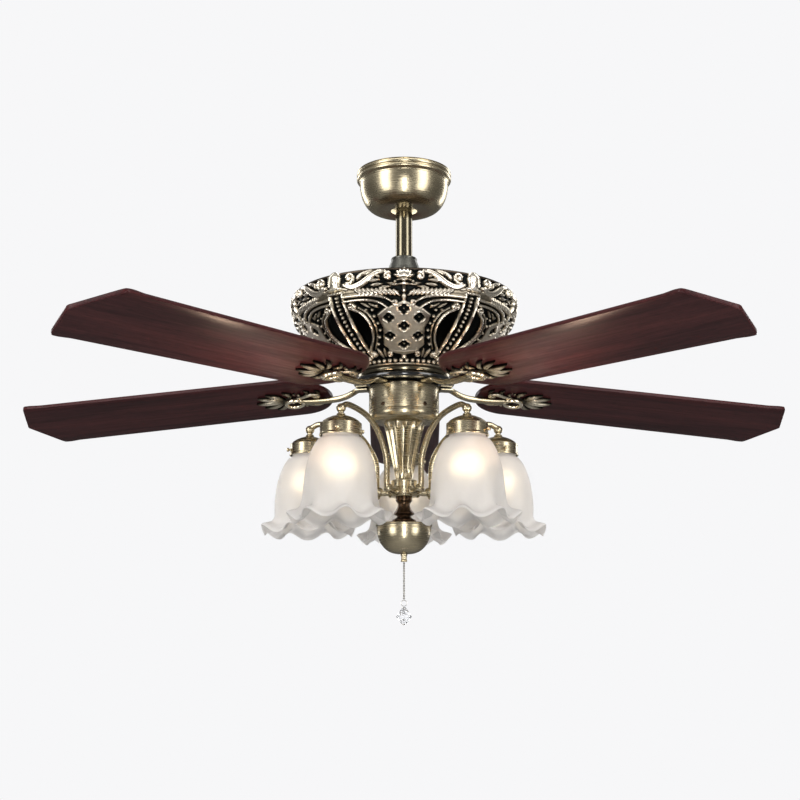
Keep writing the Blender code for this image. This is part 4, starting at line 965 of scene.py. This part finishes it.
def add_housing():
    relief, height = housing_heights()
    columns = height.shape[1] - 1
    mirrored = np.concatenate([height[:, :-1], height[:, :0:-1]], axis=1)
    around = np.tile(mirrored, (1, 5))
    count = around.shape[1]
    turn = -math.pi / 2 + np.arange(count) * math.radians(HALF_PANEL) / columns
    points = []
    for row in range(len(relief.z)):
        base = np.array([relief.radius[row], relief.z[row]]) - relief.out[row] * RECESS
        place = base[:, None] + relief.out[row][:, None] * around[row] * MM
        points += list(zip(place[0] * np.cos(turn), place[0] * np.sin(turn), np.full(count, place[1])))
    rows = len(relief.z)
    inside = [
        (MOUTH_RADIUS - 5 * MM, HOUSING_BOTTOM + 1 * MM),
        (MOUTH_RADIUS - 5 * MM, HOUSING_BOTTOM + 8 * MM), (RIM_RADIUS - 9 * MM, HOUSING_TOP - 14 * MM),
        (RIM_RADIUS - 4 * MM, HOUSING_TOP),
    ]
    for radius, z in inside:
        points += list(zip(radius * np.cos(turn), radius * np.sin(turn), np.full(count, z)))
    faces = grid_faces(rows + len(inside), count, wrap_rows=True)
    mesh = new_mesh("housing_casting", points, faces, weld=False)
    levels = np.zeros(len(mesh.vertices))
    # Relief level from height, which the cast finish turns into painted shade low down and painted highlight
    # high up.
    levels[: rows * count] = np.clip((around.ravel() + 1.2) / 8.2, 0, 1)
    # The inner walls all take a low level, so they get the hollow colour: dark patina with painted shade.
    levels[rows * count :] = 0.12
    mesh.attributes.new("relief", "FLOAT", "POINT").data.foreach_set("value", levels)
    add_piece("housing_casting", mesh, "bronze", "fan", ("motor_housing",), sharp=70)

    ring_top = HOUSING_BOTTOM + 8 * MM
    outline = [
        (MOUTH_RADIUS - 4.6 * MM, ring_top), (MOUTH_RADIUS + 5.4 * MM, ring_top),
        (MOUTH_RADIUS + 6.2 * MM, ring_top - 2 * MM),
        (MOUTH_RADIUS + 5.0 * MM, HOUSING_BOTTOM + 2.4 * MM), (MOUTH_RADIUS + 2.6 * MM, HOUSING_BOTTOM),
        (MOUTH_RADIUS - 4.6 * MM, HOUSING_BOTTOM),
    ]
    turned("housing_foot_ring", outline, "rod_brass", "fan", (), 1.4 * MM)


def add_deck():
    high, low = top("housing_deck"), bottom("housing_deck")
    radius = reach("housing_deck")
    bore = 8.3 * MM
    hub = 38 * MM
    screw_circle = 36 * MM
    plate = 2 * MM
    shoulder, shoulder_z = hub + 0.3 * (radius - hub), high - 0.22 * (high - low)
    slope = curve_through([(hub, high), (shoulder, shoulder_z), (radius, low + plate)], 12)
    outline = [(bore, high), (hub, high)] + [tuple(p) for p in slope[1:]]
    outline += [(radius, low), (shoulder, shoulder_z - plate), (hub, high - plate), (bore, high - plate)]
    turned("housing_cover", outline, "plain_bronze", "fan", ("housing_deck",), 0.8 * MM, 128)
    screws = []
    for i in range(4):
        a = math.radians(45 + 90 * i)
        place = Matrix.Translation((screw_circle * math.cos(a), screw_circle * math.sin(a), high))
        screws.append(moved(screw_mesh(3.2 * MM, 2 * MM), place))
    add_piece("deck_screws", joined("deck_screws", screws), "steel", "fan")


# ---------------------------------------------------------------- rotor


def add_rotor():
    high, low = top("rotor_shell"), bottom("rotor_shell")
    radius = reach("rotor_shell")
    side = high - 76 * MM
    drum = 58 * MM
    wall = 3 * MM
    outline = [
        (10 * MM, high), (radius - 5 * MM, high), (radius, high - 5 * MM), (radius, side),
        (drum + 3 * MM, side - 25 * MM), (drum, side - 29 * MM), (drum, low), (drum - wall, low),
        (drum - wall, side - 26 * MM), (radius - wall, side + 1 * MM), (radius - wall, high - wall),
        (20 * MM, high - wall), (20 * MM, high - 11 * MM), (16.4 * MM, high - 11 * MM),
        (16.4 * MM, high - 4 * MM), (10 * MM, high - 4 * MM),
    ]
    turned("rotor_bell", outline, "black", "rotor", ("rotor_shell",), 1.2 * MM)
    rib = tube_mesh("rib", [(drum, 0, side - 31 * MM), (drum, 0, low + 1.5 * MM)], 1.6 * MM, 10)
    add_piece("rotor_ribs", ring_of("rotor_ribs", rib, 10, 9, UPRIGHT), "black", "rotor")

    low = bottom("flywheel")
    high = top("flywheel")
    face = low + 7 * MM
    radius = reach("flywheel")
    outline = [
        (16.4 * MM, high), (20 * MM, high), (20 * MM, face), (radius - 1.4 * MM, face),
        (radius, face - 1.6 * MM), (radius, low + 2.2 * MM), (radius - 2 * MM, low), (10 * MM, low),
        (10 * MM, low + 4 * MM), (16.4 * MM, low + 4 * MM),
    ]
    turned("flywheel_disc", outline, "black", "rotor", ("flywheel",), 0.9 * MM)


# ---------------------------------------------------------------- blades and irons


def blade_frame(number):
    return (
        Matrix.Rotation(azimuth(number), 4, "Z")
        @ Matrix.Translation((0, 0, BLADE_Z))
        @ Matrix.Rotation(BLADE_DROOP, 4, "Y")
        @ Matrix.Rotation(HANDS[number] * BLADE_PITCH, 4, "X")
    )


BLADE_TIP = 660 * MM
BLADE_ROOT = 120 * MM
BLADE_THICKNESS = 6 * MM


def blade_half_width(x):
    """Half the blade's width at a distance from the axis."""
    curve, point, easing = 65 * MM, 30 * MM, 4.5 * MM
    wide = np.interp(x, [BLADE_ROOT, BLADE_TIP - point], [59 * MM, 66.5 * MM])
    if x < BLADE_ROOT + curve:
        share = 1 - (x - BLADE_ROOT) / curve
        return wide * math.sqrt(max(0, 1 - share**2))
    if x <= BLADE_TIP - 2 * point:
        return wide
    cut = wide - (BLADE_TIP - x) / point * wide
    return wide - 0.5 * (cut + math.sqrt(cut**2 + easing**2) - easing)


def blade_mesh(name):
    """A board with eased edges, rounded at the root and shallowly pointed at the tip."""
    xs = np.concatenate(
        [
            BLADE_ROOT + 65 * MM * (1 - np.cos(np.linspace(0, math.pi / 2, 18)))[1:],
            np.linspace(BLADE_ROOT + 75 * MM, BLADE_TIP - 42 * MM, 24),
            np.linspace(BLADE_TIP - 38 * MM, BLADE_TIP - 0.4 * MM, 22),
        ]
    )
    ease = 1.5 * MM
    rows = []
    lanes = np.linspace(-1, 1, 9)[1:-1]
    for x in xs:
        half = max(blade_half_width(x), 0.6 * MM)
        edge = min(ease, 0.45 * half)
        flat, near, high = half - edge, 0.3 * edge, BLADE_THICKNESS
        ring = [(-flat, 0), (-half + near, near), (-half, edge)]
        ring += [(-half, high - edge), (-half + near, high - near), (-flat, high)]
        ring += [(lane * flat, high) for lane in lanes]
        ring += [(flat, high), (half - near, high - near), (half, high - edge)]
        ring += [(half, edge), (half - near, near), (flat, 0)]
        ring += [(lane * flat, 0) for lane in lanes[::-1]]
        rows.append([(x, y, z) for y, z in ring])
    points = [p for row in rows for p in row]
    return new_mesh(name, points, capped_faces(len(rows), len(rows[0])))


def lobe_mesh(path, widths, height, sides=10):
    """A leaf finger lying on z = 0 and standing down from it: a tapered ridge along a path."""
    line = curve_through(path, 5)
    width = np.interp(np.linspace(0, 1, len(line)), np.linspace(0, 1, len(widths)), widths)
    rows = []
    for i, (x, y) in enumerate(line):
        ahead = line[min(i + 1, len(line) - 1)] - line[max(i - 1, 0)]
        ahead = ahead / np.linalg.norm(ahead)
        normal = np.array([-ahead[1], ahead[0]])
        tall = height * math.sin(math.pi * min(0.93, 0.12 + 0.8 * i / (len(line) - 1))) ** 0.6
        for j in range(sides + 1):
            a = math.pi * j / sides
            offset = math.cos(a) * width[i]
            crease = 1 - 0.28 * math.exp(-((math.cos(a) / 0.28) ** 2))
            rows.append((x + normal[0] * offset, y + normal[1] * offset, -tall * math.sin(a) * crease))
    return new_mesh("lobe", rows, capped_faces(len(line), sides + 1))


def iron_ornament():
    """Palm leaf, oval ring and side scrolls on the underside of a blade, in the blade's frame, in mm."""
    parts = []
    parts.append(lobe_mesh([(168, 0), (190, 0), (208, 0)], [5.5, 7.5, 6.0, 3.0], 4.6))
    ring = []
    for i in range(37):
        a = 2 * math.pi * i / 36
        ring.append((179 + 13.5 * math.cos(a), 11.0 * math.sin(a), -8.2 - 1.0 * math.cos(a)))
    parts.append(tube_mesh("ring", ring, 3.4, 12))
    fingers = [
        ([(200, 0), (222, 1.2), (245, -0.6)], [3.4, 5.0, 4.0, 0.9], 7.6),
        ([(200, 3), (216, 11.5), (237, 16.0)], [3.0, 4.8, 3.8, 0.9], 7.2),
        ([(196, 5), (204, 18.0), (220, 26.0)], [2.8, 4.6, 3.6, 0.9], 6.8),
        ([(185, 9), (182, 20.5), (192, 28.0)], [2.6, 4.2, 3.2, 0.8], 6.0),
        ([(160, 12), (151, 21), (156, 28.0)], [2.0, 3.4, 2.8, 0.8], 5.0),
        ([(144, 11), (134, 18), (139, 26)], [1.8, 3.0, 2.4, 0.8], 4.4),
    ]
    curl = [
        (173, 9, 2.4), (164, 11, 3.0), (154, 15, 3.2), (144, 17, 3.0),
        (136, 13, 2.6), (138, 7.5, 2.2), (145, 8, 1.8), (145, 11.5, 1.4),
    ]
    for side in (1, -1):
        for path, widths, height in fingers[0 if side > 0 else 1 :]:
            parts.append(lobe_mesh([(x, side * y) for x, y in path], widths, height))
        path = curve_through([(x, side * y, -3.6, r) for x, y, r in curl], 4)
        parts.append(tube_mesh("curl", path[:, :3], path[:, 3], 10))
        parts.append(ball_mesh("bead", 2.8, (166.5, side * 18.5, -2.8), 1.0, 14))
        parts.append(ball_mesh("bead", 2.2, (173.5, side * 21.5, -2.4), 1.0, 14))
    mesh = joined("iron_ornament", parts)
    mesh.transform(Matrix.Diagonal((MM, MM, MM, 1)))
    mesh.transform(Matrix.Translation((0, 0, -0.4 * MM)))
    return mesh


def bar_mesh(hand):
    """The iron's foot and dipped bar, in the rotor's radial frame (x out, z up from the blade plane)."""
    foot_top = bottom("flywheel") - 0.3 * MM - BLADE_Z
    rows = [
        (57, 11.0, foot_top / MM, 4.0), (70, 11.0, foot_top / MM, 4.0), (77, 10.5, foot_top / MM, 4.2),
        (83, 8.2, -0.6, 6.5), (92, 7.0, -4.2, 7.5), (104, 6.2, -7.2, 7.8), (118, 5.8, -8.6, 7.6),
        (134, 5.8, -9.2, 7.4), (150, 6.0, -9.4, 7.0), (162, 6.6, -9.4, 6.4), (172, 7.0, -9.6, 4.6),
    ]
    line = curve_through(rows, 4)
    points = []
    sides = 16
    for x, half, high, thick in line:
        roll = hand * BLADE_PITCH * float(np.clip((x - 90) / 30, 0, 1))
        for j in range(sides):
            a = 2 * math.pi * j / sides
            c, s = math.cos(a), math.sin(a)
            y = half * math.copysign(abs(c) ** 0.55, c)
            z = thick / 2 * math.copysign(abs(s) ** 0.55, s)
            across = y * math.cos(roll) - z * math.sin(roll)
            points.append((x, across, high - thick / 2 + y * math.sin(roll) + z * math.cos(roll)))
    mesh = new_mesh("bar", points, capped_faces(len(line), sides))
    mesh.transform(Matrix.Diagonal((MM, MM, MM, 1)))
    return mesh


def height_attribute(mesh, low, high):
    """Marks how far each point stands out, which the cast finishes read: painted shade low down, painted
    highlight high up.
    """
    shares = [min(1, max(0, (low - v.co.z) / (low - high))) for v in mesh.vertices]
    mesh.attributes.new("relief", "FLOAT", "POINT").data.foreach_set("value", shares)


def add_blades():
    board = blade_mesh("blade_board")
    ornament = iron_ornament()
    height_attribute(ornament, -0.5 * MM, -8.5 * MM)
    screws = []
    for x, y in ((196, 0), (222, -11), (222, 11)):
        place = Matrix.Translation((x * MM, y * MM, BLADE_THICKNESS))
        screws.append(moved(screw_mesh(4 * MM, 2 * MM), place))
    screws = joined("blade_screws", screws)
    for number in ARMS:
        label = number + 1
        pitched = blade_frame(number)
        radial = Matrix.Rotation(azimuth(number), 4, "Z") @ Matrix.Translation((0, 0, BLADE_Z))
        bar = bar_mesh(HANDS[number])
        add_piece(f"blade_board_{label}", board.copy(), "wood", "rotor", (f"blade_{label}",), pitched, 40)
        add_piece(f"iron_bar_{label}", bar, "brass", "rotor", (f"blade_iron_{label}",), radial, 50)
        add_piece(f"iron_leaf_{label}", ornament.copy(), "leaf", "rotor", (), pitched, 50)
        add_piece(f"blade_screws_{label}", screws.copy(), "brass", "rotor", (), pitched)


# ---------------------------------------------------------------- switch housing, pan, cone, hub


def add_switch_housing():
    high, low = top("switch_housing"), bottom("switch_housing")
    radius = reach("switch_housing")
    wall = 1.5 * MM
    outline = [
        (8.3 * MM, high), (radius - 2.4 * MM, high), (radius, high - 2.4 * MM),
        (radius, low + 0.8 * MM), (radius - 0.4 * MM, low), (radius - wall, low),
        (radius - wall, high - 3 * MM), (8.3 * MM, high - wall),
    ]
    turned("switch_cup", outline, "brass", "fan", ("switch_housing",), 0.9 * MM, 128)
    place = pointing_out(radius - 0.2 * MM, low + 5.5 * MM)
    screws = ring_of("switch_cup_screws", screw_mesh(3.3 * MM, 2.1 * MM), 5, -54, place)
    add_piece("switch_cup_screws", screws, "dark_brass", "fan")

    pan_top = low - 0.3 * MM
    low = bottom("fitter_pan")
    cone = reach("fluted_cone")
    spigot = radius - wall - 0.3 * MM
    high = top("fitter_pan")
    outer = [(spigot - wall, high), (spigot, high), (spigot, pan_top), (radius, pan_top)]
    outer.append((radius, pan_top - 4.5 * MM))
    outer += quarter(radius, pan_top - 5 * MM, cone + 2 * MM, low + 0.6 * MM, 12, 0.9)[1:]
    outer += [(cone + 1.2 * MM, low), (9 * MM, low), (9 * MM, low + wall)]
    inner = quarter(spigot - wall, pan_top - 5 * MM, cone, low + wall, 8, 0.9)
    turned("fitter_bowl", outer + inner[::-1], "brass", "fan", ("fitter_pan",), 0.5 * MM, 128)


def add_cone():
    high, low = top("fluted_cone"), bottom("fluted_cone")
    wide = reach("fluted_cone")
    narrow = 12.5 * MM
    flutes = 13
    rows = 14

    def flute(radius, z, angle):
        share = (high - z) / (high - low)
        depth = 0.16 * min(1, 10 * share, 5 * (1 - share))
        return radius * (1 - depth * abs(math.sin(flutes * angle / 2))), z

    outer = [(wide + (narrow - wide) * i / rows, high + (low - high) * i / rows) for i in range(rows + 1)]
    outline = [(wide - 3 * MM, high)] + outer + [(narrow - 3 * MM, low)]
    mesh = turned_mesh("cone_flutes", outline, flutes * 16, flute)
    add_piece("cone_flutes", mesh, "brass", "fan", ("fluted_cone",), sharp=60)

    high, low = top("arm_hub"), bottom("arm_hub")
    radius = reach("arm_hub")
    outline = [
        (7 * MM, high), (13.5 * MM, high), (radius - 1.4 * MM, high - 1.2 * MM),
        (radius, high - 2.4 * MM), (radius - 0.5 * MM, high - 4 * MM),
        (radius - 0.5 * MM, low + 3.4 * MM), (radius, low + 2.2 * MM), (radius - 1.4 * MM, low),
        (7 * MM, low),
    ]
    turned("hub_drum", outline, "brass", "fan", ("arm_hub",), 0.6 * MM, 96)

    high, low = top("neck_spool"), bottom("neck_spool")
    profile = curve_through(
        [
            (12.4, 0), (12.4, 5), (10.8, 7), (9.6, 9.5), (10.0, 14), (12.8, 20), (15.8, 24.6), (14.6, 26.2),
            (10.8, 28.6), (12.4, 31.4), (17.4, 34.2), (18.0, 36.4), (17.0, 38.0),
        ],
        5,
    )
    outer = [(r * MM, high - z * MM) for r, z in profile]
    outline = [(4 * MM, high)] + outer + [(4 * MM, low)]
    turned("neck_turning", outline, "dark_brass", "fan", ("neck_spool",), 0.2 * MM, 96)


def add_cup():
    high, low = top("bowl_cup"), bottom("bowl_cup")
    radius = reach("bowl_cup")
    wall = 1.3 * MM
    lip = high - 2.6 * MM
    outer = [(4 * MM, high), (17 * MM, high), (radius - 1.2 * MM, lip + 0.6 * MM), (radius, lip - 0.4 * MM)]
    outer += [(radius, lip - 2.2 * MM), (radius - 1.2 * MM, lip - 3.2 * MM)]
    outer += quarter(radius - 1.4 * MM, lip - 4.4 * MM, 9 * MM, low, 16, 0.92)
    hole = 3.4 * MM
    inner = quarter(radius - 1.4 * MM - wall, lip - 4.4 * MM, 9 * MM, low + wall, 12, 0.92)
    outline = outer + [(hole, low), (hole, low + wall)] + inner[::-1]
    outline += [(17 * MM, high - wall), (4 * MM, high - wall)]
    turned("cup_bowl", outline, "brass", "fan", ("bowl_cup",), 0.4 * MM, 128)

    high, low = top("chain_guide"), bottom("chain_guide")
    radius = reach("chain_guide")
    face = low + 11.7 * MM
    bore = 1.9 * MM
    outline = [
        (3.1 * MM, high), (3.1 * MM, face), (radius, face), (radius, face - 2.6 * MM),
        (radius - 0.9 * MM, face - 3.4 * MM), (radius - 0.9 * MM, low + 3.2 * MM),
        (radius - 0.2 * MM, low + 2.4 * MM), (radius - 0.4 * MM, low), (bore, low), (bore, high),
    ]
    turned("guide_bush", outline, "brass", "fan", ("chain_guide",), 0.35 * MM, 48)


# ---------------------------------------------------------------- lamps


def arm_routes(number):
    """The arm's centreline in its radial plane: out of the hub, up and over, down the stem."""
    lo_z = bottom(f"light_arm_{number + 1}")
    radius = 4.5 * MM
    start_z = lo_z + radius
    hub = reach("arm_hub")
    crest = top(f"light_arm_{number + 1}") - radius
    rise = crest - start_z
    elbow = 43 * MM
    span = LAMP_RADIUS - elbow
    points = [
        (hub + 0.3 * MM, start_z), (hub + 4 * MM, start_z), (elbow - 8 * MM, start_z),
        (elbow, start_z + 6 * MM), (elbow + 1 * MM, start_z + 0.37 * rise),
        (elbow + 0.08 * span, start_z + 0.56 * rise), (elbow + 0.24 * span, start_z + 0.78 * rise),
        (elbow + 0.48 * span, start_z + 0.93 * rise), (elbow + 0.83 * span, crest),
        (LAMP_RADIUS - 3 * MM, crest - 4.5 * MM),
    ]
    return [(r, 0, z) for r, z in curve_through(points, 6)], crest


def shade_rim_wave(radius, z, angle, start_z, drop):
    """Eight soft ruffles that grow from the shade's body down to its rim: out and up, then in and down."""
    share = min(1, max(0, (start_z - z) / drop))
    ruffle = math.cos(8 * angle) + 0.16 * math.cos(16 * angle) + 0.1 * math.sin(3 * angle)
    amount = share**2.2 * ruffle
    return radius + amount * 4.6 * MM, z + amount * 6.2 * MM


def shade_mesh(neck_top, neck_bottom, body_bottom, rim_z):
    neck, body, rim = 26.8 * MM, 53 * MM, 71 * MM
    tall = neck_bottom - body_bottom
    outer = [(neck, neck_top), (neck, neck_bottom + 1 * MM)]
    for share in (0.03, 0.08, 0.15, 0.24, 0.34, 0.46, 0.6, 0.76, 0.9):
        outer.append((neck + (body - neck) * math.sin(math.pi / 2 * share**0.62), neck_bottom - share * tall))
    flare = body_bottom - rim_z
    # The flare goes down first, then out to the rim.
    flare_shares = [(0.0, 0.0), (0.02, 0.3), (0.08, 0.55), (0.27, 0.75)]
    flare_shares += [(0.6, 0.84), (0.87, 0.91), (1.0, 1.0)]
    for out, down in flare_shares:
        outer.append((body + (rim - body) * out, body_bottom - flare * down))
    outer = [tuple(p) for p in curve_through(outer, 3)]
    wall = 2.6 * MM
    inner = []
    for i, (r, z) in enumerate(outer):
        before, after = outer[max(i - 1, 0)], outer[min(i + 1, len(outer) - 1)]
        along = Vector((after[0] - before[0], after[1] - before[1])).normalized()
        inner.append((r + along.y * wall, z - along.x * wall))
    end = Vector(((outer[-1][0] + inner[-1][0]) / 2, (outer[-1][1] + inner[-1][1]) / 2))
    along = Vector((outer[-1][0] - outer[-2][0], outer[-1][1] - outer[-2][1])).normalized()
    lip = []
    for degrees in (50, 0, -50):
        turn = Matrix.Rotation(math.radians(degrees), 2)
        lip.append(tuple(end + (turn @ along) * wall / 2))

    def wave(radius, z, angle):
        return shade_rim_wave(radius, z, angle, body_bottom + 22 * MM, body_bottom + 22 * MM - rim_z)

    return turned_mesh("shade", outer + lip + inner[::-1], 160, wave)


def holder_outline(high, low, radius):
    wall = 1.2 * MM
    band = high - 12.5 * MM
    outer = [
        (2 * MM, high), (6 * MM, high), (7.5 * MM, high - 1.2 * MM), (14 * MM, high - 3.2 * MM),
        (20.5 * MM, high - 6 * MM), (25.5 * MM, high - 9.2 * MM), (28.4 * MM, band),
        (radius - 1 * MM, band - 0.8 * MM), (radius - 1 * MM, low + 3.6 * MM),
        (radius - 0.3 * MM, low + 2.8 * MM), (radius, low + 1.6 * MM), (radius, low),
    ]
    inner = [
        (radius - 1 * MM - wall, low), (radius - 1 * MM - wall, band - wall),
        (20 * MM, high - 7.4 * MM), (14 * MM, high - 4.6 * MM), (2 * MM, high - 1.6 * MM),
    ]
    return outer + inner


def bulb_mesh():
    high, low = top("bulb_2"), bottom("bulb_2")
    lo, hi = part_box("bulb_2")
    radius = (hi[0] - lo[0]) / 2
    globe = low + radius
    outline = [(0.0005, high), (13 * MM, high - 4 * MM), (13 * MM, high - 25 * MM)]
    outline += [(15 * MM, high - 31 * MM), (19 * MM, globe + 14 * MM)]
    outline += arc(radius, globe, 20, -88, 14)
    return turned_mesh("bulb", soften(outline, 1 * MM), 48)


def arm_mesh(number, holder_high):
    """The tube, its ball and stem over the lamp, and its collar and elbow at the hub."""
    route, crest = arm_routes(number)
    start_z = route[0][2]
    ball_z = crest - 8 * MM
    stem = [
        (2 * MM, ball_z - 4 * MM), (4.4 * MM, ball_z - 5.4 * MM), (4.0 * MM, ball_z - 7.2 * MM),
        (6.0 * MM, ball_z - 8.2 * MM), (6.4 * MM, holder_high + 0.3 * MM),
        (2 * MM, holder_high + 0.3 * MM),
    ]
    collar = [(2 * MM, 4 * MM), (6.6 * MM, 3.6 * MM), (7.6 * MM, 1.6 * MM), (7.6 * MM, 0), (2 * MM, 0)]
    collar = turned_mesh("collar", soften(collar, 0.6 * MM), 32)
    over_lamp = Matrix.Translation((LAMP_RADIUS, 0, 0))
    return joined(
        "arm",
        [
            tube_mesh("arm", route, 4.3 * MM, 18),
            ball_mesh("ball", 7 * MM, (LAMP_RADIUS, 0, ball_z), 0.98, 28),
            moved(turned_mesh("stem", soften(stem, 0.4 * MM), 32), over_lamp),
            moved(collar, pointing_out(reach("arm_hub") + 0.1 * MM, start_z)),
            ball_mesh("elbow", 7.2 * MM, (39.5 * MM, 0, start_z + 1.6 * MM), 1.0, 24),
            ball_mesh("elbow_bead", 3.4 * MM, (41.5 * MM, 0, start_z - 6.4 * MM), 1.0, 16),
        ],
    )


def add_lamps():
    holder_high, holder_low = top("shade_holder_2"), bottom("shade_holder_2")
    lo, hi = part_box("shade_holder_2")
    holder_radius = (hi[0] - lo[0]) / 2
    outline = holder_outline(holder_high, holder_low, holder_radius)
    holder = turned_mesh("holder", soften(outline, 0.5 * MM), 80)
    shade_high, rim_z = top("glass_shade_2"), bottom("glass_shade_2") + 9 * MM
    shade = shade_mesh(shade_high, shade_high - 17 * MM, rim_z + 27 * MM, rim_z)
    bulb = bulb_mesh()
    knob = [
        (0.0004, 6 * MM), (3 * MM, 5.6 * MM), (3 * MM, 2.4 * MM), (1.4 * MM, 2 * MM), (1.4 * MM, 0),
        (0.0004, 0),
    ]
    knob = turned_mesh("knob", soften(knob, 0.4 * MM), 20)
    knob_place = pointing_out(holder_radius - 1.2 * MM, holder_low + 8.5 * MM)
    screws = ring_of("holder_screws", knob, 3, 30, knob_place)
    for number in ARMS:
        label = number + 1
        turn = Matrix.Rotation(azimuth(number), 4, "Z")
        place = turn @ Matrix.Translation((LAMP_RADIUS, 0, 0))
        for name, mesh, finish, nodes, where, sharp in (
            ("arm_tube", arm_mesh(number, holder_high), "brass", ("light_arm",), turn, 40),
            ("holder_cap", holder.copy(), "brass", ("shade_holder",), place, 40),
            ("holder_screws", screws.copy(), "brass", (), place, 40),
            ("shade_petals", shade.copy(), "glass", ("glass_shade",), place, 80),
            ("bulb_globe", bulb.copy(), "bulb", ("bulb",), place, 60),
        ):
            stands_for = [f"{node}_{label}" for node in nodes]
            add_piece(f"{name}_{label}", mesh, finish, "fan", stands_for, where, sharp)


# ---------------------------------------------------------------- hidden CAD nodes


def finish_cad_nodes():
    """The hanger, the motor's inside and the sockets keep their CAD shape."""
    kept = {
        "hanger_bracket": "steel",
        "ball_liner": "rubber",
        "hanger_ball": "plastic",
        "motor_shaft": "steel",
        "stator": "copper",
        "upper_bearing": "steel",
        "lower_bearing": "steel",
        "pull_switch": "plastic",
    }
    kept.update({f"lamp_socket_{number + 1}": "plastic" for number in ARMS})
    for node, finish in kept.items():
        mesh = frame["nodes"][node].data
        mesh.materials.clear()
        mesh.materials.append(FINISH[finish])


def main():
    add_camera()
    add_chain()
    add_studio()
    add_canopy()
    add_housing()
    add_deck()
    add_rotor()
    add_blades()
    add_switch_housing()
    add_cone()
    add_cup()
    add_lamps()
    finish_cad_nodes()


main()
